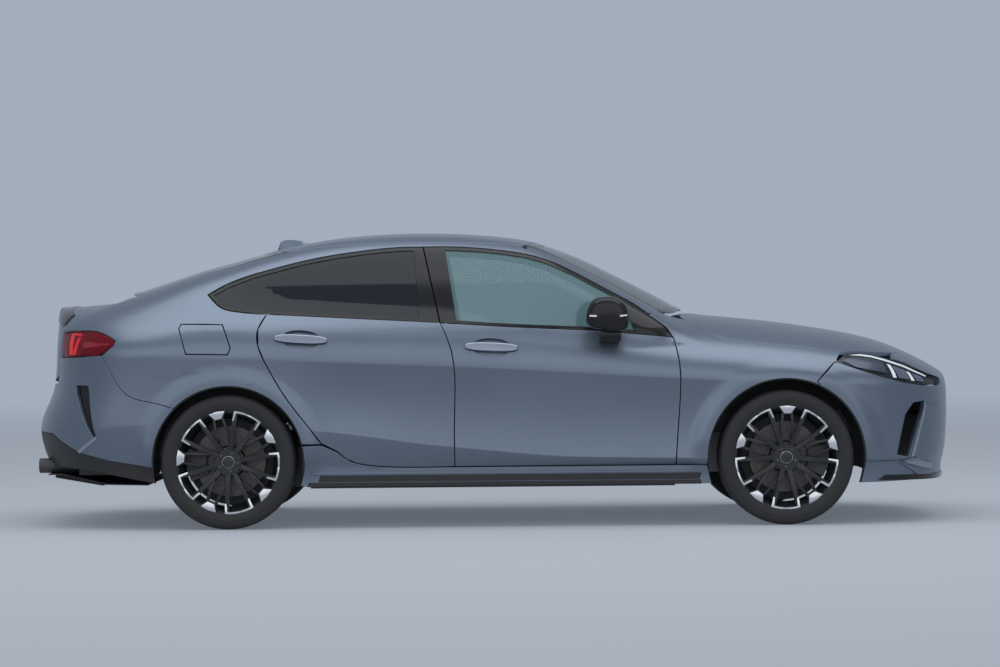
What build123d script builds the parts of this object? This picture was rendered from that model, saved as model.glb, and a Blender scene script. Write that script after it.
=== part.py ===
from build123d import *
import os
import numpy as np

# Four-door coupe, millimetres. +X forward, +Y left, +Z up, origin on the ground below the middle of the car.

# ---- driving dimensions ------------------------------------------------------------------
FRONT_AXLE = 1391.0      # axle stations along X
REAR_AXLE = -1279.0
TYRE_R = 323.0
TYRE_HALF = 116.0        # half breadth over the tyre's sidewalls
WHEEL_Y = 771.0          # wheel centre plane from the middle of the car
RIM_R = 256.0            # outer radius of the rim flanges
BEAD_R = 243.0           # seat of the tyre on the rim
RIM_HALF = 106.0
DISC_R = 170.0
DISC_BACK = -43.0        # faces of the brake disc, outwards from the wheel centre plane
DISC_FRONT = -17.0
SPOKE_FRONT = 92.0
SPOKE_R = 241.0          # where the spokes end in the barrel
GAP = 5.0                # shut line between a moving panel and its neighbour
SEAT = 0.3               # clearance of a piece that only rests on its neighbour
ARCH_FRONT_R = 377.0
ARCH_REAR_R = 363.0
FLARE_Y = 898.0          # half breadth over the wheel arch flares
DOOR_BOTTOM = 292.0
DOOR_WALL = 72.0
DOOR_SKIN = 20.0
INNER_INSET = 12.0
SILL_Z = DOOR_BOTTOM - GAP / 2
PILLAR_GAP = 19.0
PANEL_WALL = 22.0
ROOF_WALL = 28.0
RAIL_WALL = 84.0
SILL_WALL = 100.0
PILLAR_WALL = 44.0
GLASS = 5.0
GLASS_INSET = 5.0
SECTION_CENTRE_Z = 560.0


# ---- body surface ------------------------------------------------------------------------
def curve(*points):
    """Natural cubic through (station, value) points, straight beyond its ends."""
    x, v = np.array(points, float).T
    n, h = len(x), np.diff(x)
    a, r = np.eye(n), np.zeros(n)
    for i in range(1, n - 1):
        a[i, i - 1 : i + 2] = h[i - 1], 2 * (h[i - 1] + h[i]), h[i]
        r[i] = 6 * ((v[i + 1] - v[i]) / h[i] - (v[i] - v[i - 1]) / h[i - 1])
    m = np.linalg.solve(a, r)
    slope_low = (v[1] - v[0]) / h[0] - h[0] * m[1] / 6
    slope_high = (v[-1] - v[-2]) / h[-1] + h[-1] * m[-2] / 6

    def at(t):
        t = np.asarray(t, float)
        k = np.clip(np.searchsorted(x, t) - 1, 0, n - 2)
        d, w = t - x[k], h[k]
        slope = (v[k + 1] - v[k]) / w - w * (2 * m[k] + m[k + 1]) / 6
        inside = v[k] + d * slope + d * d * m[k] / 2 + d**3 * (m[k + 1] - m[k]) / (6 * w)
        ends = np.where(t < x[0], v[0] + (t - x[0]) * slope_low, v[-1] + (t - x[-1]) * slope_high)
        return np.where((t < x[0]) | (t > x[-1]), ends, inside)

    return at


def ease(t, low, high):
    """Smooth step from 0 at low to 1 at high."""
    u = np.clip((t - low) / (high - low), 0, 1)
    return u * u * (3 - 2 * u)


# heights and half breadths of the lines that run along the lower body
crown_z = curve((-2200, 1072), (-2070, 1081), (-1900, 1096), (-1650, 1130), (-1200, 1195), (-600, 1222), (0, 1205),
                (500, 1120), (900, 1032), (1250, 992), (1660, 935), (1940, 865), (2110, 788), (2260, 708))
crease_z = curve((-2273, 830), (-1800, 830), (-905, 800), (-198, 769), (312, 741), (885, 704), (1400, 680), (2000, 655),
                 (2260, 640))
crease_y = curve((-2273, 880), (-1700, 888), (-1279, 892), (-700, 886), (0, 884), (700, 886), (1391, 892), (1800, 886),
                 (2260, 870))
tuck_z = curve((-2273, 480), (-870, 470), (-616, 440), (-338, 401), (-69, 373), (250, 342), (592, 330), (1400, 316),
               (2260, 310))
nose_x = curve((150, 2205), (230, 2225), (340, 2242), (500, 2254), (620, 2254), (700, 2250), (900, 2250))
tail_x = curve((200, -2130), (290, -2215), (400, -2262), (482, -2273), (560, -2252), (640, -2216), (720, -2197),
               (860, -2188), (1000, -2185), (1075, -2187), (1200, -2190))
# centre line of the glasshouse, and its half breadth at the belt
roof_z = curve((-2050, 975), (-1950, 1030), (-1800, 1103), (-1657, 1168), (-1507, 1230), (-1356, 1284), (-1225, 1323),
               (-1077, 1359), (-926, 1390), (-751, 1416), (-564, 1430), (-390, 1435), (-215, 1432), (-40, 1421),
               (100, 1405), (228, 1379), (330, 1347), (548, 1250), (716, 1164), (843, 1097), (969, 1023), (1100, 945))
belt_y = curve((-2050, 560), (-1800, 660), (-1384, 762), (-1000, 800), (-400, 815), (200, 820), (860, 812), (1100, 795))
BELT_Z = 950.0


def breadth(x, z):
    """Half breadth of the body side below its crease, with the waist, the tuck under and the flares."""
    top, low = crease_z(x), tuck_z(x)
    waist = (top + low) / 2 - 10
    sharp = 0.25 + 0.75 * ease(x, -1000, -700) * (1 - ease(x, 950, 1150))
    below = np.clip((top - z) / (top - waist), 0, 1)
    rise = np.clip((waist - z) / (waist - low), 0, 1)
    tuck = np.clip((low - z) / (low - DOOR_BOTTOM), 0, 1)
    y = crease_y(x) + sharp * (10 * rise**2 - 16 * (1 - (1 - below) ** 2)) - 30 * (0.6 * tuck + 0.4 * tuck**2)
    for axle, r in ((FRONT_AXLE, ARCH_FRONT_R), (REAR_AXLE, ARCH_REAR_R)):
        away = np.hypot(x - axle, z - TYRE_R)
        y = y + (1 - ease(away, r + 25, r + 110)) * ease(z, 230, 420) * np.maximum(FLARE_Y - y, 0)
    return y


def lower_shape(x, y, z):
    """Negative inside the lower body: a fuller and fuller oval towards the nose and the tail."""
    up = np.maximum(z - crease_z(x), 0) / np.maximum(crown_z(x) - crease_z(x), 20)
    front = np.clip((x - FRONT_AXLE) / (nose_x(z) - FRONT_AXLE), 0, 2)
    rear = np.clip((REAR_AXLE - x) / (REAR_AXLE - tail_x(z)), 0, 2)
    end = front**4 + rear**4.5
    taper = np.maximum(1 - end, 1e-9) ** (1 / 2.6)
    oval = (np.abs(y) / np.maximum(breadth(x, z) * taper, 1)) ** 3 + up**2 - 1
    return np.where(end < 1, oval, np.maximum(oval, 0) + (end - 1))


def rounded_max(a, b, radius):
    h = np.maximum(radius - np.abs(a - b), 0) / radius
    return np.maximum(a, b) + h * h * radius / 4


def glasshouse(x, y, z):
    """Roughly the distance outside the glasshouse: leaning sides, and one arch from cowl to deck."""
    up = np.maximum(z - BELT_Z, 0)
    side = np.abs(y) - (belt_y(x) - 0.36 * up - 0.00038 * up**2)
    bow = ease(x, 100, 400) * 2.0e-4 - (1 - ease(x, -1300, -900)) * 1.2e-4
    top = z - (roof_z(x + bow * y**2) - 1.15e-4 * y**2)
    return np.maximum(rounded_max(0.9 * side, 0.9 * top, 95.0), 880 - z)


def distance(shape, x, y, z, h=1.0):
    """First order distance to the surface where shape is zero."""
    steps = ((h, 0, 0), (0, h, 0), (0, 0, h))
    slope = [(shape(x + i, y + j, z + k) - shape(x - i, y - j, z - k)) / (2 * h) for i, j, k in steps]
    return shape(x, y, z) / np.maximum(np.sqrt(sum(s * s for s in slope)), 1e-6)


def body(x, y, z):
    """Lower body and glasshouse, blended widely over the rear quarters."""
    a, b = distance(lower_shape, x, y, z), glasshouse(x, y, z)
    k = 30 + 130 * (1 - ease(x, -1500, -950))
    h = np.maximum(k - np.abs(a - b), 0) / k
    return np.minimum(a, b) - h * h * k / 4


def lower(x, y, z):
    return distance(lower_shape, x, y, z)


# ways of laying a flat outline on the body: each gives the origins and directions of rays from inside it
def from_side(p):
    x, z = p[..., 0], p[..., 1]
    return np.stack([x, 0 * x, z], -1), np.stack([0 * x, 0 * x + 1, 0 * x], -1)


def from_above(p):
    x, y = p[..., 0], p[..., 1]
    return np.stack([x, y, 0 * x + 300], -1), np.stack([0 * x, 0 * x, 0 * x + 1], -1)


def round_section(p):
    x, turn = p[..., 0], np.radians(p[..., 1])
    return np.stack([x, 0 * x, 0 * x + SECTION_CENTRE_Z], -1), np.stack([0 * x, np.cos(turn), np.sin(turn)], -1)


def round_nose(p):
    turn, z = np.radians(p[..., 0]), p[..., 1]
    return np.stack([0 * z + FRONT_AXLE, 0 * z, z], -1), np.stack([np.cos(turn), np.sin(turn), 0 * z], -1)


def round_tail(p):
    turn, z = np.radians(p[..., 0]), p[..., 1]
    return np.stack([0 * z + REAR_AXLE, 0 * z, z], -1), np.stack([np.cos(turn), np.sin(turn), 0 * z], -1)


def over_deck(p):
    turn, y = np.radians(p[..., 0]), p[..., 1]
    centre = np.stack([0 * y + DECK_CENTRE[0], y, 0 * y + DECK_CENTRE[1]], -1)
    return centre, np.stack([np.cos(turn), 0 * y, np.sin(turn)], -1)


def hit(shape, origin, direction, far=1700.0):
    """Where rays from inside the body leave it."""
    near = np.zeros(origin.shape[:-1])
    away = near + far
    for _ in range(32):
        mid = (near + away) / 2
        inside = shape(*np.moveaxis(origin + mid[..., None] * direction, -1, 0)) < 0
        near, away = np.where(inside, mid, near), np.where(inside, away, mid)
    return origin + near[..., None] * direction


def section_angles(lift, shape, points):
    """The same points as stations and angles round the section centre."""
    q = hit(shape, *lift(np.array(points, float)))
    return [(x, float(np.degrees(np.arctan2(z - SECTION_CENTRE_Z, y)))) for x, y, z in q]


def along(points, count, low=0.0, high=1.0):
    """Evenly spaced points of a smooth edge between two shares of its length."""
    p = np.array(points, float)
    span = max(np.ptp(p[:, 0]), 1e-6), max(np.ptp(p[:, 1]), 1e-6)
    s = np.concatenate([[0], np.cumsum(np.hypot(*(np.diff(p, axis=0) / max(span)).T))])
    at = np.linspace(low, high, count) * s[-1]
    return np.stack([curve(*zip(s, p[:, i]))(at) for i in (0, 1)], -1)


def patch(low, high, left, right, shares, counts):
    """Grid of flat points between four edges, each share of a side being left off."""
    (u0, u1), (v0, v1) = shares
    u = np.linspace(u0, u1, counts[0])[:, None, None]
    v = np.linspace(v0, v1, counts[1])[None, :, None]
    bottom, top = (along(e, counts[0], u0, u1)[:, None] for e in (low, high))
    start, end = (along(e, counts[1], v0, v1)[None] for e in (left, right))
    c = [np.array(p, float) for p in (low[0], low[-1], high[0], high[-1])]
    corners = (1 - u) * (1 - v) * c[0] + u * (1 - v) * c[1] + (1 - u) * v * c[2] + u * v * c[3]
    return (1 - v) * bottom + v * top + (1 - u) * start + u * end - corners


def panel(lift, shape, low, high, left=None, right=None, outside=0.0, inside=20.0, margin=0.0, taper=0.0,
          counts=(9, 7), tol=0.1):
    """Adds one panel of the body, between two depths, its inner face smaller all round by the taper."""
    left = left or [low[0], high[0]]
    right = right or [low[-1], high[-1]]
    whole = hit(shape, *lift(patch(low, high, left, right, ((0, 1), (0, 1)), (9, 9))))
    length = np.linalg.norm(np.diff(whole, axis=0), axis=-1).sum(0).mean()
    height = np.linalg.norm(np.diff(whole, axis=1), axis=-1).sum(1).mean()
    skins = []
    for depth, inset in ((outside, margin), (inside, margin + taper)):
        u, v = inset / length, inset / height
        flat = patch(low, high, left, right, ((u, 1 - u), (v, 1 - v)), counts)
        origin, direction = lift(flat)
        q = hit(shape, origin, direction) - depth * direction
        skins.append(Face.make_surface_from_array_of_points([[tuple(p) for p in row] for row in q], tol=tol))
    outer, inner = skins
    walls = []
    for edge in outer.edges():
        below = min(inner.edges(), key=lambda e: (e.center() - edge.center()).length)
        walls.append(Face.make_surface_from_curves(edge, below))
    add(Solid(Shell([outer, inner] + walls)))


def grown(points, margin):
    """Closed outline moved outwards by margin, its corners kept sharp."""
    p = np.array(points, float)
    p = p[np.hypot(*(p - np.roll(p, 1, axis=0)).T) > 1.0]
    ahead = np.roll(p, -1, axis=0) - p
    turning = np.sign(np.sum(p[:, 0] * np.roll(p[:, 1], -1) - p[:, 1] * np.roll(p[:, 0], -1)))
    after = np.stack([ahead[:, 1], -ahead[:, 0]], -1) * turning / np.hypot(*ahead.T)[:, None]
    before = np.roll(after, 1, axis=0)
    shift = (after + before) / np.maximum(1 + np.sum(after * before, axis=1), 0.3)[:, None]
    return [(float(x), float(y)) for x, y in p + margin * shift]


def side_prism(points, margin=0.0):
    """Cutter from the left side view (x, z), grown by margin."""
    with BuildPart() as prism:
        with BuildSketch(Plane.XZ):
            with BuildLine():
                Polyline(*grown(points, margin), close=True)
            make_face()
        extrude(amount=1300, both=True)
    return prism.part


def above_prism(points, margin=0.0):
    """Cutter from above (x, y), both halves, grown by margin, for everything over the floor."""
    both = list(points) + [(x, -y) for x, y in points[::-1] if y > 0]
    with BuildPart() as prism:
        with BuildSketch(Plane.XY.offset(600)):
            with BuildLine():
                Polyline(*grown(both, margin), close=True)
            make_face()
        extrude(amount=1000)
    return prism.part


def edge_cut(side, start, end):
    """Left half outline of a full width panel, from its side edge and its two half ends."""
    run = list(along(start, 9)) + list(along(side, 17))[1:] + list(along(end, 9))[-2::-1]
    return [(float(x), float(y)) for x, y in run]


def drum(x, y, z, r, mode=Mode.ADD):
    """Cylinder across the car between two values of y."""
    with Locations(Location((x, (y[0] + y[1]) / 2, z), (90, 0, 0))):
        Cylinder(r, abs(y[1] - y[0]), mode=mode)


def arch_cut(axle, r):
    drum(axle, (-1200, 1200), TYRE_R, r, Mode.SUBTRACT)


def profile(points, y):
    """Side view outline carried across the car between two values of y."""
    with BuildPart() as bar:
        with BuildSketch(Plane.XZ.offset(-y[1])):
            with BuildLine():
                Polyline(*points, close=True)
            make_face()
        extrude(amount=y[1] - y[0])
    add(bar.part)


def box(x, y, z, mode=Mode.ADD):
    """Box between pairs of limits."""
    low, high = (tuple(sorted(pair)[i] for pair in (x, y, z)) for i in (0, 1))
    middle = tuple((a + b) / 2 for a, b in zip(low, high))
    with Locations(middle):
        Box(*(b - a for a, b in zip(low, high)), mode=mode)


os.makedirs("parts", exist_ok=True)


def keep(piece, name):
    piece.part.label = name
    export_step(piece.part, f"parts/{name}.step")


def other_side(piece):
    """The same piece on the right of the car."""
    with BuildPart() as twin:
        add(mirror(piece.part, about=Plane.XZ))
    return twin


# ---- panel outlines, side view (x, z) ----------------------------------------------------
DOOR_SPLIT = [(-195, DOOR_BOTTOM), (-195, 540), (-195, 774), (-211, 861), (-261, 980)]
BELT_FRONT = [(-261, 980), (122, 953), (440, 937), (859, 899)]
BELT_REAR = [(-1095, 1028), (-700, 1005), (-261, 980)]
DOOR_FRONT_EDGE = [(861, DOOR_BOTTOM), (877, 506), (887, 701), (881, 796), (859, 899)]
DOOR_REAR_EDGE = [(-760, 372), (-828, 405), (-872, 461), (-923, 527), (-993, 619), (-1089, 781), (-1132, 880),
                  (-1138, 935), (-1095, 1028)]
DOOR_REAR_FOOT = [(-760, 372), (-704, 327), (-631, 305), (-485, DOOR_BOTTOM), (-195, DOOR_BOTTOM)]
GLASS_SPLIT = [(-261, 980), (-345, 1353)]
GLASS_TOP_FRONT = [(-345, 1353), (-205, 1353), (19, 1335), (123, 1320), (284, 1274), (405, 1215), (558, 1131),
                   (687, 1057), (824, 947)]
GLASS_TOP_REAR = [(-1384, 1127), (-1319, 1166), (-1096, 1245), (-874, 1299), (-651, 1334), (-428, 1353), (-345, 1353)]
GLASS_REAR_TIP = [(-1384, 1127), (-1366, 1108), (-1318, 1064), (-1250, 1044), (-1095, 1028)]
BUMPER_REAR_LINE = [(-1887, 837), (-1841, 758), (-1794, 680), (-1737, 635), (-1653, 614), (-1540, 583)]
HEADLAMP = [(1641, 775), (1692, 830), (1755, 860), (1900, 850), (1950, 790), (1979, 765), (2032, 739), (2180, 700),
            (2180, 655), (2057, 660), (1964, 674), (1854, 703), (1745, 738)]
TAIL_LAMP = [(-1817, 909), (-1880, 943), (-1922, 956), (-2011, 957), (-2320, 950), (-2320, 827), (-2090, 827),
             (-1906, 838), (-1828, 885)]
FUEL_FLAP = [(-1503, 985), (-1304, 981), (-1262, 867), (-1276, 837), (-1475, 841), (-1512, 964)]
# plan view (x, y), left half
BONNET_REAR = [(975, 0), (962, 200), (935, 350), (908, 470), (930, 560), (979, 638), (1047, 722)]
BONNET_SIDE = [(1047, 722), (1142, 755), (1323, 769), (1495, 770), (1667, 770), (1755, 737)]
BONNET_FRONT = [(2030, 0), (2015, 300), (1990, 480), (1962, 575), (1920, 640), (1850, 700), (1755, 737)]
SCREEN_TOP = [(225, 0), (205, 300), (150, 552)]
SCREEN_FOOT = [(945, 0), (930, 200), (905, 350), (865, 520), (800, 640)]
SCREEN_SIDE = [(150, 552), (500, 598), (800, 640)]
BACKLIGHT_TOP = [(-1120, 0), (-1096, 300), (-1010, 545)]
BACKLIGHT_FOOT = [(-1805, 0), (-1795, 300), (-1740, 540)]
BACKLIGHT_SIDE = [(-1010, 545), (-1370, 552), (-1740, 540)]
ROOF_SIDE = [(-1010, 545), (-600, 562), (-100, 566), (150, 552)]
DECK_CENTRE = (-1900.0, 850.0)
LID_HALF = 520.0
LID_LOW = 700.0
LAMP_TOP_Z = 957.0
EDGE = SEAT / 2
SHUT = GAP / 2


def full(half):
    """Left half of an edge, from the middle out, continued to the right."""
    return [(x, -y) for x, y in half[::-1]] + half[1:]


def flip(points):
    return [(x, -y) for x, y in points]


def raised(points, rise):
    return [(x, z + rise) for x, z in points]


LID_CUT = [(-1790, 0), (-1790, 515), (-1828, 545), (-1923, 575), (-2022, 570), (-2137, LID_HALF), (-2400, LID_HALF),
           (-2400, 0)]
BONNET_CUT = BONNET_REAR + BONNET_SIDE[1:] + BONNET_FRONT[-2::-1]
FRONT_BUMPER = [(1400, 190), (2400, 190), (2400, 900), (1755, 900), (1755, 816), (1692, 812), (1641, 775), (1626, 775),
                (1539, 686), (1400, 686)]
FENDER = [(863, SILL_Z + SEAT), (879, 506), (889, 701), (883, 796), (862, 899), (826, 950), (744, 1012), (772, 1060), (1641, 1060),
          (1641, 775), (1626, 775), (1539, 686), (1391, 600), (1391, SILL_Z + SEAT)]
REAR_BUMPER = BUMPER_REAR_LINE[::-1] + [(-1906, 838), (-2090, 827), (-2400, 827), (-2400, 240), (-1540, 240)]
GRILLE_HALF = 330.0
GRILLE_Z = (478.0, 655.0)
INTAKE_HALF = 420.0
INTAKE_Z = (232.0, 350.0)
PLATE_TIP = 2273.0
BUMPER_LOW = 262.0
PIPE_Y = 470.0
PIPE_Z = 298.0
PIPE_R = 36.0
SHEET = 8.0
FLOOR_Z = 190.0
TUNNEL_HALF = 148.0
TUNNEL_Z = 380.0
RISER_Z = 381.0
BOOT_FLOOR_Z = 336.0
BOOT_HALF = 500.0
SUBFRAME_Z = 230.0
KINGPIN_Y = 705.0
ARM_LOW_Z = 130.0
ARM_HIGH_Z = 500.0
STUB_R = 30.0
HUB_BORE = 30.05

# ---- doors -------------------------------------------------------------------------------
SECTION = dict(lift=round_section, shape=body)
SIDE = dict(lift=from_side, shape=body)
BELT_RISE = 2 * SHUT - SEAT
CUP_DEPTH = 14.0
HANDLE_OUT = 22.0        # how far the pull bar stands out of the skin
HANDLE_THICK = 12.0


def smooth(*edges):
    """Closed outline from edges that follow one another."""
    return [tuple(float(v) for v in p) for edge in edges for p in along(edge, 11)]


FRONT_GLASS = smooth(GLASS_SPLIT[::-1], BELT_FRONT, GLASS_TOP_FRONT[::-1])
REAR_GLASS = smooth(GLASS_REAR_TIP, BELT_REAR, GLASS_SPLIT, GLASS_TOP_REAR[::-1])


def handle(x, z, slope):
    """Cup in the door skin, and the pull bar across it on its two feet."""
    turn = np.radians(slope)

    def oval(half_x, half_z, power, count=20):
        points = []
        for a in np.linspace(0, 2 * np.pi, count, endpoint=False):
            u = half_x * np.sign(np.cos(a)) * abs(np.cos(a)) ** power
            w = half_z * np.sign(np.sin(a)) * abs(np.sin(a)) ** power
            points.append((x + u * np.cos(turn) - w * np.sin(turn), z + u * np.sin(turn) + w * np.cos(turn)))
        return points

    around = dict(low=[(x - 180, z - 80), (x + 180, z - 80)], high=[(x - 180, z + 80), (x + 180, z + 80)], **SIDE)
    for outside, inside, outline, mode in ((-60, CUP_DEPTH, oval(92, 44, 0.9), Mode.SUBTRACT),
                                           (-HANDLE_OUT, HANDLE_THICK - HANDLE_OUT, oval(126, 21, 0.7), Mode.ADD)):
        with BuildPart(mode=Mode.PRIVATE) as layer:
            panel(outside=outside, inside=inside, **around)
            add(side_prism(outline), mode=Mode.INTERSECT)
        add(layer.part, mode=mode)
    for step in (-105, 105):
        foot = x + step * np.cos(turn), z + step * np.sin(turn)
        with BuildPart(mode=Mode.PRIVATE) as layer:
            panel(outside=HANDLE_THICK - HANDLE_OUT - 1, inside=3, **around)
            add(side_prism([(foot[0] + i, foot[1] + k) for i, k in ((-13, -11), (13, -11), (13, 11), (-13, 11))]),
                mode=Mode.INTERSECT)
        add(layer.part)


def door(outline, rear, front, grip):
    """Outer panel to its shut lines, with the inner box set in from them to clear the swing."""
    with BuildPart() as shell:
        for outside, inside, inset in ((0, DOOR_SKIN, 0), (DOOR_SKIN - 1, DOOR_WALL, INNER_INSET)):
            with BuildPart(mode=Mode.PRIVATE) as layer:
                panel(lift=from_side, shape=body, low=[(rear, 270), (front, 270)], high=[(rear, 1050), (front, 1050)],
                      outside=outside, inside=inside, counts=(11, 17), tol=0.3)
                add(side_prism(outline, -SHUT - inset), mode=Mode.INTERSECT)
            add(layer.part)
        handle(*grip)
    return shell


door_front_left = door(smooth(DOOR_SPLIT, raised(BELT_FRONT, BELT_RISE), DOOR_FRONT_EDGE[::-1]), -290, 920,
                       (-16, 862, -2.5))
keep(door_front_left, "door_front_left")
door_front_right = other_side(door_front_left)
keep(door_front_right, "door_front_right")
door_rear_left = door(smooth(DOOR_REAR_FOOT[::-1], DOOR_REAR_EDGE, raised(BELT_REAR, BELT_RISE), DOOR_SPLIT[::-1]), -1180,
                      -170, (-926, 908, -3.5))
keep(door_rear_left, "door_rear_left")
door_rear_right = other_side(door_rear_left)
keep(door_rear_right, "door_rear_right")

def door_glass(outline, rear, front):
    with BuildPart() as pane:
        panel(lift=round_section, shape=body, low=[(rear, 20), (front, 20)], high=[(rear, 57), (front, 57)],
              outside=GLASS_INSET, inside=GLASS_INSET + GLASS, counts=(13, 11), tol=0.3)
        add(side_prism(outline, -SHUT), mode=Mode.INTERSECT)
    return pane


glass_front_left = door_glass(FRONT_GLASS, -400, 900)
keep(glass_front_left, "glass_front_left")
glass_front_right = other_side(glass_front_left)
keep(glass_front_right, "glass_front_right")
glass_rear_left = door_glass(REAR_GLASS, -1420, -220)
keep(glass_rear_left, "glass_rear_left")
glass_rear_right = other_side(glass_rear_left)
keep(glass_rear_right, "glass_rear_right")

# ---- front wings -------------------------------------------------------------------------
ROOF_CUT = edge_cut(ROOF_SIDE, BACKLIGHT_TOP, SCREEN_TOP)
SCREEN_CUT = edge_cut(SCREEN_SIDE, SCREEN_TOP, SCREEN_FOOT)
BACKLIGHT_CUT = edge_cut(BACKLIGHT_SIDE[::-1], BACKLIGHT_FOOT, BACKLIGHT_TOP)




def fender(outside, inside, margin):
    """Front wing skin between two depths, cut to its outline."""
    with BuildPart() as skin:
        panel(low=[(730, -20), (1660, -20)], high=[(730, 42), (1660, 42)], outside=outside, inside=inside, counts=(21, 21),
              tol=0.5, **SECTION)
        add(side_prism(FENDER, margin), mode=Mode.INTERSECT)
    return skin


with BuildPart() as fender_left:
    add(fender(0, PANEL_WALL, -EDGE).part)
    arch_cut(FRONT_AXLE, ARCH_FRONT_R)
    add(above_prism(BONNET_CUT, SHUT), mode=Mode.SUBTRACT)
    add(above_prism(SCREEN_CUT, 2 * SHUT), mode=Mode.SUBTRACT)
keep(fender_left, "fender_left")
fender_right = other_side(fender_left)
keep(fender_right, "fender_right")

# ---- body side: rail over the doors, pillars, sill and rear quarter ----------------------
RAIL_LOW = section_angles(from_side, body, [(-1386, 1132), (-1320, 1172)] + raised(GLASS_TOP_REAR[2:], GAP)
                          + raised(GLASS_TOP_FRONT[1:-1], GAP) + [(742, 1019)])
RAIL_HIGH = section_angles(from_above, body, [(-1384, 540), (-1010, 525), (-600, 540), (-100, 545), (150, 530), (500, 575),
                                              (760, 612)])
with BuildPart() as body_side_left:
    panel(low=RAIL_LOW, high=RAIL_HIGH, outside=0.4, inside=RAIL_WALL, margin=EDGE, counts=(15, 7), **SECTION)
    for pane in (FRONT_GLASS, REAR_GLASS):
        add(side_prism(pane, SHUT), mode=Mode.SUBTRACT)
    panel(low=[(-905, FLOOR_Z + SHEET + SEAT), (1020, FLOOR_Z + SHEET + SEAT)], high=[(-905, SILL_Z), (1020, SILL_Z)], outside=0.4, inside=SILL_WALL, **SIDE)
    panel(low=[(-262, 250), (-128, 250)], high=[(-296, 1020), (-166, 1020)], outside=DOOR_WALL + PILLAR_GAP,
          inside=DOOR_WALL + PILLAR_GAP + PILLAR_WALL, counts=(5, 21), tol=0.5, **SIDE)
    panel(low=[(-292, 992), (-162, 992)], high=[(-400, 1362), (-290, 1362)], outside=PILLAR_GAP + GLASS_INSET,
          inside=DOOR_WALL + PILLAR_GAP + PILLAR_WALL, **SIDE)
    panel(low=[(900, 250), (950, 250)], high=[(900, 930), (950, 930)], outside=PANEL_WALL + 8, inside=SILL_WALL, **SIDE)
    panel(low=[(720, 990), (905, 900)], high=[(740, 1040), (915, 955)], outside=PANEL_WALL, inside=RAIL_WALL, **SIDE)
    add(fender(-6, PANEL_WALL + SEAT, EDGE).part, mode=Mode.SUBTRACT)
    with BuildPart(mode=Mode.PRIVATE) as quarter:
        panel(low=[(-2120, -20), (-740, -20)], high=[(-2120, 62), (-740, 62)], inside=PANEL_WALL, counts=(25, 25),
              tol=1.0, **SECTION)
        outline = ([(-1384, 1500)] + [tuple(p) for p in along(GLASS_REAR_TIP, 25)]
                   + [tuple(p) for p in along(DOOR_REAR_EDGE, 17)[::-1]] + [(-745, 360), (-745, 240), (-1279, 240),
                   (-1279, 560)] + BUMPER_REAR_LINE[::-1] + [(-1828, 885), (-1817, 909), (-1880, 943), (-1922, 956),
                   (-2011, 957), (-2300, 957), (-2300, 1500)])
        add(side_prism(outline, -SHUT), mode=Mode.INTERSECT)
    add(quarter.part)
    arch_cut(FRONT_AXLE, ARCH_FRONT_R)
    arch_cut(REAR_AXLE, ARCH_REAR_R)
    for outline in (ROOF_CUT, SCREEN_CUT, BACKLIGHT_CUT):
        add(above_prism(outline, SHUT / 2), mode=Mode.SUBTRACT)
    add(above_prism(LID_CUT, SHUT), mode=Mode.SUBTRACT)
keep(body_side_left, "body_side_left")
body_side_right = other_side(body_side_left)
with body_side_right:
    add(mirror(side_prism(FUEL_FLAP, 0), about=Plane.XZ), mode=Mode.SUBTRACT)
keep(body_side_right, "body_side_right")
with BuildPart() as flap_left:
    panel(low=[(-1540, 820), (-1240, 820)], high=[(-1540, 1000), (-1240, 1000)], inside=8, **SIDE)
    add(side_prism(FUEL_FLAP, -GAP), mode=Mode.INTERSECT)
fuel_flap = other_side(flap_left)
keep(fuel_flap, "fuel_flap")

# ---- roof, glass over the car, front wings -----------------------------------------------
ABOVE = dict(lift=from_above, shape=body)
with BuildPart() as roof_panel:
    panel(low=flip(ROOF_SIDE), high=ROOF_SIDE, left=full(BACKLIGHT_TOP), right=full(SCREEN_TOP), inside=ROOF_WALL,
          margin=EDGE, counts=(11, 11), **ABOVE)
    profile([(-1105, 1335), (-1082, 1404), (-1040, 1411), (-975, 1408), (-915, 1380)], (-22, 22))
keep(roof_panel, "roof_panel")
with BuildPart() as windscreen:
    panel(low=flip(SCREEN_SIDE), high=SCREEN_SIDE, left=full(SCREEN_TOP), right=full(SCREEN_FOOT), outside=3,
          inside=3 + GLASS, margin=EDGE, counts=(11, 11), **ABOVE)
keep(windscreen, "windscreen")
with BuildPart() as rear_window:
    panel(low=flip(BACKLIGHT_SIDE)[::-1], high=BACKLIGHT_SIDE[::-1], left=full(BACKLIGHT_FOOT), right=full(BACKLIGHT_TOP),
          outside=3, inside=3 + GLASS, margin=EDGE, counts=(11, 11), **ABOVE)
keep(rear_window, "rear_window")
# ---- bonnet and boot lid -----------------------------------------------------------------
with BuildPart() as bonnet:
    panel(lift=round_section, shape=lower, low=[(885, 12), (2045, 12)], high=[(885, 168), (2045, 168)],
          inside=PANEL_WALL, counts=(21, 25), tol=0.5)
    add(above_prism(BONNET_CUT, -SHUT), mode=Mode.INTERSECT)
keep(bonnet, "bonnet")
with BuildPart() as boot_lid:
    panel(lift=over_deck, shape=lower, low=[(70, -600), (209, -600)], high=[(70, 600), (209, 600)], inside=PANEL_WALL,
          counts=(25, 21), tol=0.5)
    add(above_prism(LID_CUT, -SHUT), mode=Mode.INTERSECT)
    box((-2400, -1700), (-700, 700), (LID_LOW + SHUT, 1200), mode=Mode.INTERSECT)
    for side in (-1, 1):
        box((-2400, -1700), (side * (LID_HALF - SHUT), side * 800), (LID_LOW, LAMP_TOP_Z + GAP), mode=Mode.SUBTRACT)
keep(boot_lid, "boot_lid")

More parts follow.
